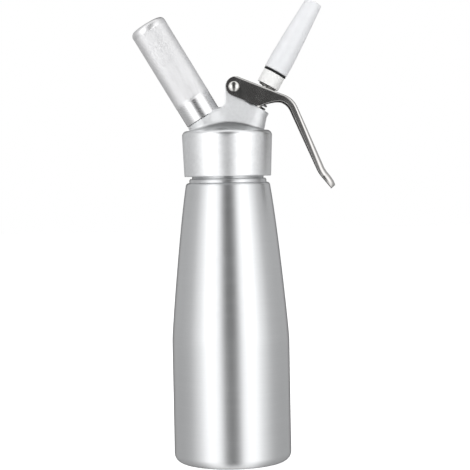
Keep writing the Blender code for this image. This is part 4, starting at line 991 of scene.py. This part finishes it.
def leverBlank(s):
    stations = leverStations(s)
    total = stations[-1][2]
    taperStart = s["plateReach"] + s["sweepLength"]
    rows = []
    for place, heading, run in stations:
        narrowed = min(max((run - taperStart) / s["handleTaper"], 0), 1) ** s["taperPower"]
        half = s["plateOuter"] + (s["handleHalf"] - s["plateOuter"]) * narrowed
        corner = s["plateCorner"] + (s["handleCorner"] - s["plateCorner"]) * narrowed
        sweep = min(max((run - s["plateReach"]) / s["sweepLength"], 0), 1)
        depth = s["handleDepth"] + (s["plateDepth"] - s["handleDepth"]) * (1 - sweep) ** s["sweepPower"]
        fromEnd = max((total - run) / s["tipRound"], 0)
        sink = 0
        if fromEnd < 1:
            share = math.sqrt(1 - (1 - fromEnd) ** 2)
            half = s["tipHalf"] + (s["handleHalf"] - s["tipHalf"]) * share
            sink = s["tipSink"] * (1 - fromEnd) ** 3
        outwards = Vector((math.sin(heading), math.cos(heading)))
        row = []
        for across, down in channelSection(half, depth - sink, corner, s):
            spot = place + outwards * (down - sink)
            row.append((spot.x, across, spot.y))
        rows.append(row)
    return skinRows("leverBlank", rows)


def leverMesh(s):
    middle = s["webRise"] - s["plateDepth"] / 2
    centre = (s["endRadius"] - s["endBack"], middle)
    spare = s["cutSpare"]
    behind = -s["endBack"] - 2 * spare
    above = s["webRise"] + spare

    def endOutline(radius):
        far = radius + spare
        outline = [(centre[0], middle + far), (behind, middle + far), (behind, middle - far)]
        return outline + [(centre[0], middle - far)] + arcPoints(centre, radius, 268, 92, 36)

    outer, edge = s["plateOuter"], s["edge"]
    wide, narrow = endOutline(s["endRadius"]), endOutline(s["endRadius"] - 2 * edge)
    layers = [(-outer - edge, narrow), (-outer + edge, wide), (outer - edge, wide), (outer + edge, narrow)]
    endCut = slabMesh("leverEndCut", layers)
    webHalf = outer - s["sheet"] - s["webGap"]
    below = -s["plateDepth"]
    outline = [(behind, below), (s["webStart"], below), (s["webStart"], above), (behind, above)]
    webCut = slabMesh("leverWebCut", [(-webHalf, outline), (webHalf, outline)])
    slot = arcPoints((s["stemReach"] + s["slotFront"], 0), s["slotHalf"], -90, 90, 16)
    slot += arcPoints((s["stemReach"] - s["slotBack"], 0), s["slotHalf"], 90, 270, 16)
    slotHeights = (s["webRise"] - s["slotDepth"], above)
    slotCut = skinRows("leverSlotCut", [[(x, y, z) for x, y in slot] for z in slotHeights])
    pinCut = moved(lathe("leverPinCut", boreOutline(s["pinHole"]), 40), Matrix.Rotation(math.pi / 2, 4, "X"))
    cuts = [("DIFFERENCE", mesh) for mesh in (endCut, webCut, slotCut, pinCut)]
    return carve("leverSheet", leverBlank(s), *cuts)


addPiece("lever_sheet", leverMesh(leverSizes), leverFrame, "lever", "lever", leverSteel, 30,
         False)
print("lever made")


# pin and its cap: domed and polished

pinSizes = {
    "radius": 2.5, "seat": 12.0, "headRadius": 3.6, "headRise": 1.6, "tail": 12.9, "capBore": 2.8,
    "capDepth": 1.2, "sides": 48,
}


def pinPieces(s):
    dome = []
    for step in range(10):
        share = math.sin(math.pi / 2 * step / 10)
        dome.append((s["headRadius"] * math.sqrt(1 - share * share), s["seat"] + s["headRise"] * share))
    dome.append((0, s["seat"] + s["headRise"]))
    inside = s["seat"] + s["capDepth"]
    shaft = [(0, -s["tail"]), (s["radius"], -s["tail"]), (s["radius"], s["seat"])] + dome
    button = [(0, inside), (s["capBore"], inside), (s["capBore"], s["seat"])] + dome
    for name, outline, place, node in (
        ("pin_shaft", shaft, pinFrame, "lever_pin"), ("pin_button", button, capFrame, "pin_cap"),
    ):
        mesh = lathe(name, outline, s["sides"])
        addPiece(name, mesh, place, "head", node, polishedSteel, 30)


pinPieces(pinSizes)
print("pin made")


# valve: stem, nut, spring, adapter and the seals, along the leaning axis

springSizes = {
    "top": -3.98, "length": 8.7, "radius": 5.7, "wire": 0.7, "turns": 3, "endTurns": 0.5, "endPitch": 1.85,
    "perTurn": 36, "wireSides": 14,
}


def springMesh(s):
    # a drawn-wire coil with closed ends, as a tube along its own line
    rise = s["length"] - 2 * s["wire"]
    middlePitch = (rise - 2 * s["endTurns"] * s["endPitch"]) / (s["turns"] - 2 * s["endTurns"])
    height = s["top"] - s["length"] + s["wire"]
    line = []
    for step in range(s["turns"] * s["perTurn"] + 1):
        turn = step / s["perTurn"]
        angle = math.tau * turn
        line.append(Vector((s["radius"] * math.cos(angle), s["radius"] * math.sin(angle), height)))
        middle = turn + 0.5 / s["perTurn"]
        atEnd = middle < s["endTurns"] or middle > s["turns"] - s["endTurns"]
        height += (s["endPitch"] if atEnd else middlePitch) / s["perTurn"]
    rows = []
    wire = s["wire"]
    angles = [math.tau * side / s["wireSides"] for side in range(s["wireSides"])]
    for spot, point in enumerate(line):
        along = (line[min(spot + 1, len(line) - 1)] - line[max(spot - 1, 0)]).normalized()
        outwards = Vector((point.x, point.y, 0)).normalized()
        up = along.cross(outwards).normalized()
        outwards = up.cross(along)
        rows.append([point + outwards * math.cos(a) * wire + up * math.sin(a) * wire for a in angles])
    return skinRows("returnSpring", rows)


spring = addPiece("return_spring", springMesh(springSizes), valveFrame, "head", "valve_spring",
                  springWire, 60, False)
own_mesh(spring)
print("spring made")

valveSizes = {
    "stem": 3.5, "stemTop": 2.9, "stemBore": 1.9, "stemFloor": 0.7, "seat": -35.48, "pistonHead": 6.6,
    "pistonThickness": 2.6, "sealThickness": 2.0, "gap": 0.3, "portRadius": 1.4, "portHalf": 7.5,
    "portRise": 3.5, "nutTop": -1.68, "nutLow": -3.68, "nutRadius": 6.6, "nutCrown": 4.6,
    "nutChamfer": 0.55, "bossTop": -12.98, "guide": 5.3, "guideFlange": 6.9, "guideLip": 0.8,
    "guideLength": 8.5, "oRing": 0.75, "adapterLow": 1.87, "adapterTop": 9.37, "adapterFlange": 6.0,
    "adapterLip": 0.8, "adapterRadius": 5.2, "threadCrest": 6.0, "threadLow": 4.87, "threadTurns": 1.75,
    "washerInner": 3.5, "washerOuter": 5.2, "washerThickness": 1.0,
}
tipThread = {"pitch": 2.0, "root": 1.1, "top": 0.5}


def tube(inner, outer, low, high):
    return [(inner, low), (outer, low), (outer, high), (inner, high)]


def valveSet(s):
    # name, outline, corner round, sides, place, body, node, slot and finish of each turned piece
    gap = s["gap"]
    sealTop = s["seat"] - gap
    sealLow = sealTop - s["sealThickness"]
    headTop = sealLow - gap
    headLow = headTop - s["pistonThickness"]
    stemStep = s["adapterLow"] - gap
    stemTop = s["adapterTop"] - gap
    boreLow = s["seat"] + s["stemFloor"]
    top = s["bossTop"]
    guideLow = top - s["guideLength"]
    stem = [(0, headLow), (s["pistonHead"], headLow), (s["pistonHead"], headTop), (s["stem"], headTop)]
    stem += [(s["stem"], stemStep), (s["stemTop"], stemStep), (s["stemTop"], stemTop)]
    stem += [(s["stemBore"], stemTop), (s["stemBore"], boreLow), (0, boreLow)]
    inner = s["stem"] + gap
    nut = [(inner, s["nutLow"]), (s["nutRadius"], s["nutLow"])]
    nut += [(s["nutRadius"], s["nutTop"] - s["nutChamfer"]), (s["nutCrown"], s["nutTop"])]
    nut += [(inner, s["nutTop"])]
    seal = tube(inner, s["pistonHead"], sealLow, sealTop)
    guide = [(inner, guideLow), (s["guide"], guideLow), (s["guide"], top - s["guideLip"])]
    guide += [(s["guideFlange"], top - s["guideLip"]), (s["guideFlange"], top), (inner, top)]
    oRing = arcPoints((inner + s["oRing"], guideLow - gap - s["oRing"]), s["oRing"], 0, 345, 23)
    bore = s["stemTop"] + gap
    lipTop = s["adapterLow"] + s["adapterLip"]
    adapter = [(bore, s["adapterLow"]), (s["adapterFlange"], s["adapterLow"]), (s["adapterFlange"], lipTop)]
    adapter += [(s["adapterRadius"], lipTop), (s["adapterRadius"], s["adapterTop"]), (bore, s["adapterTop"])]
    washerLow = s["adapterTop"] + gap
    washer = tube(s["washerInner"], s["washerOuter"], washerLow, washerLow + s["washerThickness"])
    place = valveFrame
    return (
        ("valve_stem", stem, 0.15, 48, place, "piston", "piston", "polished_steel", polishedSteel),
        ("press_nut", nut, 0.12, 64, place, "piston", "thrust_nut", "polished_steel", polishedSteel),
        ("valve_seal", seal, 0.3, 48, place, "piston", "piston_seal", "black_rubber", blackRubber),
        ("stem_guide", guide, 0.15, 64, place, "head", "valve_guide", "white_plastic", whitePlastic),
        ("stem_ring", oRing, 0, 48, place, "head", "stem_o_ring", "black_rubber", blackRubber),
        # the adapter's dark colour is painted shade
        ("tip_thread", adapter, 0.12, 64, place, "piston", "tip_adapter", "polished_steel", adapterPaintedShadeSteel),
        ("tip_washer", washer, 0.2, 48, place, "tip_gasket", "tip_gasket", "silicone", redSilicone),
    )


def valveExtras(s):
    rise = Matrix.Translation((0, 0, (s["seat"] + s["portRise"]) * mm))
    across = rise @ Matrix.Rotation(math.pi / 2, 4, "X")
    ports = lathe("ports", boreOutline([(s["portRadius"], -s["portHalf"], s["portHalf"])]), 24)
    thread = helixRidge("tipThread", s["adapterRadius"], s["threadCrest"], s["threadLow"], s["threadTurns"],
                        tipThread, 64)
    return {"valve_stem": ("DIFFERENCE", moved(ports, across)), "tip_thread": ("UNION", thread)}


addTurnedSet(valveSet(valveSizes), valveExtras(valveSizes))
print("valve made")


# decorating tip: brushed ring, black band and white spout

tipSizes = {
    "low": 2.97, "ringTop": 12.17, "ringRadius": 7.65, "ringBore": 6.3, "ceiling": 10.97, "passage": 3.2,
    "threadCrest": 5.5, "threadRise": 0.9, "threadTurns": 2.25, "spigot": 4.9, "spigotTop": 17.97,
    "bandLow": 12.47, "bandTop": 13.57, "bandRadius": 7.9, "corner": 0.25, "gap": 0.3, "spoutLow": 13.87,
    "spoutBase": 8.1, "spoutWaist": 7.5, "spoutEnd": 5.8, "baseLength": 9.5, "waistHeight": 24.5,
    "spoutLength": 52.8, "spoutSteps": 40, "endRound": 0.8, "bore": 3.5, "endBore": 4.2, "sides": 96,
}


def spoutSide(s, height):
    if height <= s["baseLength"]:
        return s["spoutBase"]
    if height < s["waistHeight"]:
        share = (height - s["baseLength"]) / (s["waistHeight"] - s["baseLength"])
        return s["spoutBase"] + (s["spoutWaist"] - s["spoutBase"]) * share
    share = (height - s["waistHeight"]) / (s["spoutLength"] - s["waistHeight"])
    return s["spoutWaist"] + (s["spoutEnd"] - s["spoutWaist"]) * share


def spoutOutline(s, inner):
    top = s["spoutLow"] + s["spoutLength"]
    gap = s["gap"]
    outline = [(inner, s["spoutLow"]), (s["spoutBase"] - gap, s["spoutLow"])]
    for step in range(s["spoutSteps"] + 1):
        height = gap + (s["spoutLength"] - gap - s["endRound"]) * step / s["spoutSteps"]
        around = [spoutSide(s, height + shift) for shift in (-1.5, -0.75, 0, 0.75, 1.5)]
        outline.append((sum(around) / len(around), s["spoutLow"] + height))
    outline += arcPoints((s["spoutEnd"] - s["endRound"], top - s["endRound"]), s["endRound"], 20, 90, 5)
    outline += [(s["endBore"] + gap, top), (s["endBore"], top - gap)]
    return outline + [(s["bore"], s["spigotTop"] + gap), (inner, s["spigotTop"] + gap)]


def tipSet(s):
    ring = [(s["ringBore"], s["low"]), (s["ringRadius"], s["low"]), (s["ringRadius"], s["ringTop"])]
    ring += [(s["spigot"], s["ringTop"]), (s["spigot"], s["spigotTop"]), (s["passage"], s["spigotTop"])]
    ring += [(s["passage"], s["ceiling"]), (s["ringBore"], s["ceiling"])]
    inner = s["spigot"] + s["gap"]
    band = tube(inner, s["bandRadius"], s["bandLow"], s["bandTop"])
    spout = spoutOutline(s, inner)
    corner, sides, place = s["corner"], s["sides"], valveFrame
    return (
        ("tip_ring", ring, corner, sides, place, "tip", "tip_base", "brushed_aluminium", ringSatin),
        ("black_band", band, corner, sides, place, "tip", "tip_band", "black_rubber", blackRubber),
        ("white_spout", spout, 0, sides, place, "tip", "tip_spout", "white_plastic", whitePlastic),
    )


def ringRidge(s):
    low = s["low"] + s["threadRise"]
    return helixRidge("ringThread", s["ringBore"], s["threadCrest"], low, s["threadTurns"], tipThread,
                      s["sides"])


addTurnedSet(tipSet(tipSizes), {"tip_ring": ("UNION", ringRidge(tipSizes))})
print("tip made")


# charger holder: knurled tube with a smooth band and a domed end

holderSizes = {
    "radius": 12.5, "bandRadius": 12.35, "bore": 10.9, "low": 0.3, "mouthEdge": 0.2, "bandTop": 13.5,
    "bandStep": 0.3, "end": 73.3, "floor": 69.9, "endRound": 3.4, "endRise": 0.08, "innerEnd": 61.9,
    "knurlLow": 14.6, "knurlHigh": 68.4, "knurlDepth": 0.1, "sides": 150,
}


def holderMesh(s):
    # a tube whose middle rows stand in and out by turns, as knurling does
    half = math.tau * s["radius"] / s["sides"]
    rows = round((s["knurlHigh"] - s["knurlLow"]) / half)
    edge = s["mouthEdge"]
    outline = [(s["bore"], s["low"] + edge), (s["bore"] + edge, s["low"]), (s["bandRadius"] - edge, s["low"])]
    outline += [(s["bandRadius"], s["low"] + edge), (s["bandRadius"], s["bandTop"])]
    outline += [(s["bandRadius"], s["bandTop"] + s["bandStep"])]
    firstKnurl = len(outline)
    outline += [(s["radius"], s["knurlLow"] + half * row) for row in range(rows + 1)]
    centre = (s["radius"] - s["endRound"], s["end"] - s["endRound"] - s["bandStep"])
    outline += arcPoints(centre, s["endRound"], 8, 80, 9)
    outline += [(s["radius"] * 0.5, s["end"] - s["endRise"]), (0, s["end"])]
    outline += [(0, s["floor"]), (s["bore"] * 0.5, s["floor"]), (s["bore"], s["innerEnd"])]

    def knurl(number, side):
        row = number - firstKnurl
        if not 0 <= row <= rows or (row + side) % 2:
            return 0
        return -s["knurlDepth"] * min(min(row, rows - row) / 2, 1)

    return lathe("knurledHolder", outline, s["sides"], knurl)


def splitKnurls(mesh, s):
    # each knurled square is split along its groove
    shape = bmesh.new()
    shape.from_mesh(mesh)
    low = (s["knurlLow"] - 0.01) * mm
    high = (s["knurlHigh"] + 0.6) * mm
    wanted = []
    for face in shape.faces:
        heights = [vert.co.z for vert in face.verts]
        if len(face.verts) == 4 and min(heights) > low and max(heights) < high:
            if min(vert.co.xy.length for vert in face.verts) > s["bandRadius"] * 0.97 * mm:
                wanted.append(face)
    for face in wanted:
        first, second = sorted(face.verts, key=lambda vert: vert.co.xy.length)[:2]
        if first not in [link.other_vert(second) for link in second.link_edges]:
            bmesh.utils.face_split(face, first, second)
    return meshFrom("knurledHolder", shape)


addPiece("knurled_holder", splitKnurls(holderMesh(holderSizes), holderSizes), holderFrame, "holder",
         "charger_holder", holderKnurled, 18, False)
print("holder made")


# gasket, gas inlet, cartridge and liner: turned pieces that only show when the object is opened

innerSizes = {
    "rim": 210.9, "gasketInner": 20.8, "gasketOuter": 23.7, "gasketThickness": 2.4, "gap": 0.3,
    "studRadius": 9.8, "studCrest": 10.6, "studLength": 9.2, "studBore": 4.8, "studFloor": 2.2,
    "rootRadius": 7.0, "rootLength": 9.0, "noseRadius": 2.6, "noseLength": 6.5, "noseBore": 1.0,
    "threadTurns": 2.0, "threadStart": 3.45, "pinBase": 1.6, "pinBaseLength": 4.0, "needle": 0.9,
    "needleBore": 0.4, "needleLength": 4.6, "needlePoint": 1.0, "needleTip": 0.15, "sealThickness": 1.3,
    "sleeveWall": 1.3, "cartridge": 9.05, "neck": 4.3, "neckLength": 6.0, "shoulder": 7.4,
    "shoulderPower": 1.6,
    "cartridgeLength": 65.5, "cartridgeEnd": 8.1, "pierced": 1.4, "cartridgeWall": 1.6, "linerInner": 9.4,
    "linerOuter": 10.6, "linerLow": 13.0, "linerHigh": 60.0,
}
inletThread = {"pitch": 2.5, "root": 1.4, "top": 0.7}


def cartridgeSide(s, radius, neck, start, end):
    # from the neck over the shoulder to the domed end
    neckTop = start + s["neckLength"]
    points = [(neck, start), (neck, neckTop)]
    for step in range(1, 13):
        share = step / 12
        across = neck + (radius - neck) * math.sin(share * math.pi / 2)
        points.append((across, neckTop + s["shoulder"] * share ** s["shoulderPower"]))
    low = end - s["cartridgeEnd"]
    for step in range(12):
        angle = math.pi / 2 * step / 12
        points.append((radius * math.cos(angle), low + s["cartridgeEnd"] * math.sin(angle)))
    return points + [(0, end)]


def innerSet(s):
    # name, outline, corner round, sides, place, body, node, slot and finish of each turned piece
    gap = s["gap"]
    low = s["rim"] + gap
    gasket = tube(s["gasketInner"], s["gasketOuter"], low, low + s["gasketThickness"])
    root = -s["rootLength"]
    nose = root - s["noseLength"]
    floor = s["studFloor"]
    needleFloor = floor - s["pinBaseLength"]
    stud = [(s["noseBore"], nose), (s["noseRadius"], nose), (s["noseRadius"], root), (s["rootRadius"], root)]
    stud += [(s["rootRadius"], gap), (s["studRadius"], gap), (s["studRadius"], s["studLength"])]
    stud += [(s["studBore"], s["studLength"]), (s["studBore"], floor), (s["pinBase"] + gap, floor)]
    stud += [(s["pinBase"] + gap, needleFloor - gap), (s["noseBore"], needleFloor - gap)]
    point = floor + s["needleLength"]
    needle = [(s["needleBore"], needleFloor), (s["pinBase"], needleFloor), (s["pinBase"], floor)]
    needle += [(s["needle"], floor), (s["needle"], point - s["needlePoint"])]
    needle += [(s["needleBore"] + s["needleTip"], point), (s["needleBore"], point)]
    sealLow = floor + gap
    sealTop = sealLow + s["sealThickness"]
    seal = tube(s["needle"] + gap, s["studBore"] - gap, sealLow, sealTop)
    sleeveInner = s["noseRadius"] + gap
    sleeve = tube(sleeveInner, sleeveInner + s["sleeveWall"], nose + gap, root - 2 * gap)
    start = sealTop + gap
    end = start + s["cartridgeLength"]
    wall = s["cartridgeWall"]
    outer = cartridgeSide(s, s["cartridge"], s["neck"], start, end)
    inner = cartridgeSide(s, s["cartridge"] - wall, s["neck"] - wall, start + wall, end - wall)
    cartridge = [(s["pierced"], start)] + outer + inner[::-1] + [(s["pierced"], start + wall)]
    liner = tube(s["linerInner"], s["linerOuter"], s["linerLow"], s["linerHigh"])
    place = holderFrame
    return (
        ("rim_gasket", gasket, 0.4, 128, bottleFrame, "gasket", "head_gasket", "silicone", redSilicone),
        ("inlet_thread", stud, 0.12, 96, place, "head", "inlet_stud", "polished_steel", polishedSteel),
        ("gas_needle", needle, 0.05, 32, place, "head", "piercing_pin", "polished_steel", polishedSteel),
        ("neck_seal", seal, 0.2, 64, place, "head", "charger_seal", "black_rubber", blackRubber),
        ("sleeve_valve", sleeve, 0.2, 48, place, "head", "check_valve", "silicone", redSilicone),
        ("gas_cartridge", cartridge, 0, 64, place, "charger", "charger", "charger_steel", chargerPlated),
        ("tube_liner", liner, 0.3, 96, place, "holder", "holder_liner", "grey_plastic", greyPlastic),
    )


def studRidge(s):
    return helixRidge("inletThread", s["studRadius"], s["studCrest"], s["threadStart"], s["threadTurns"],
                      inletThread, 96)


addTurnedSet(innerSet(innerSizes), {"inlet_thread": ("UNION", studRidge(innerSizes))})
print("inner pieces made")
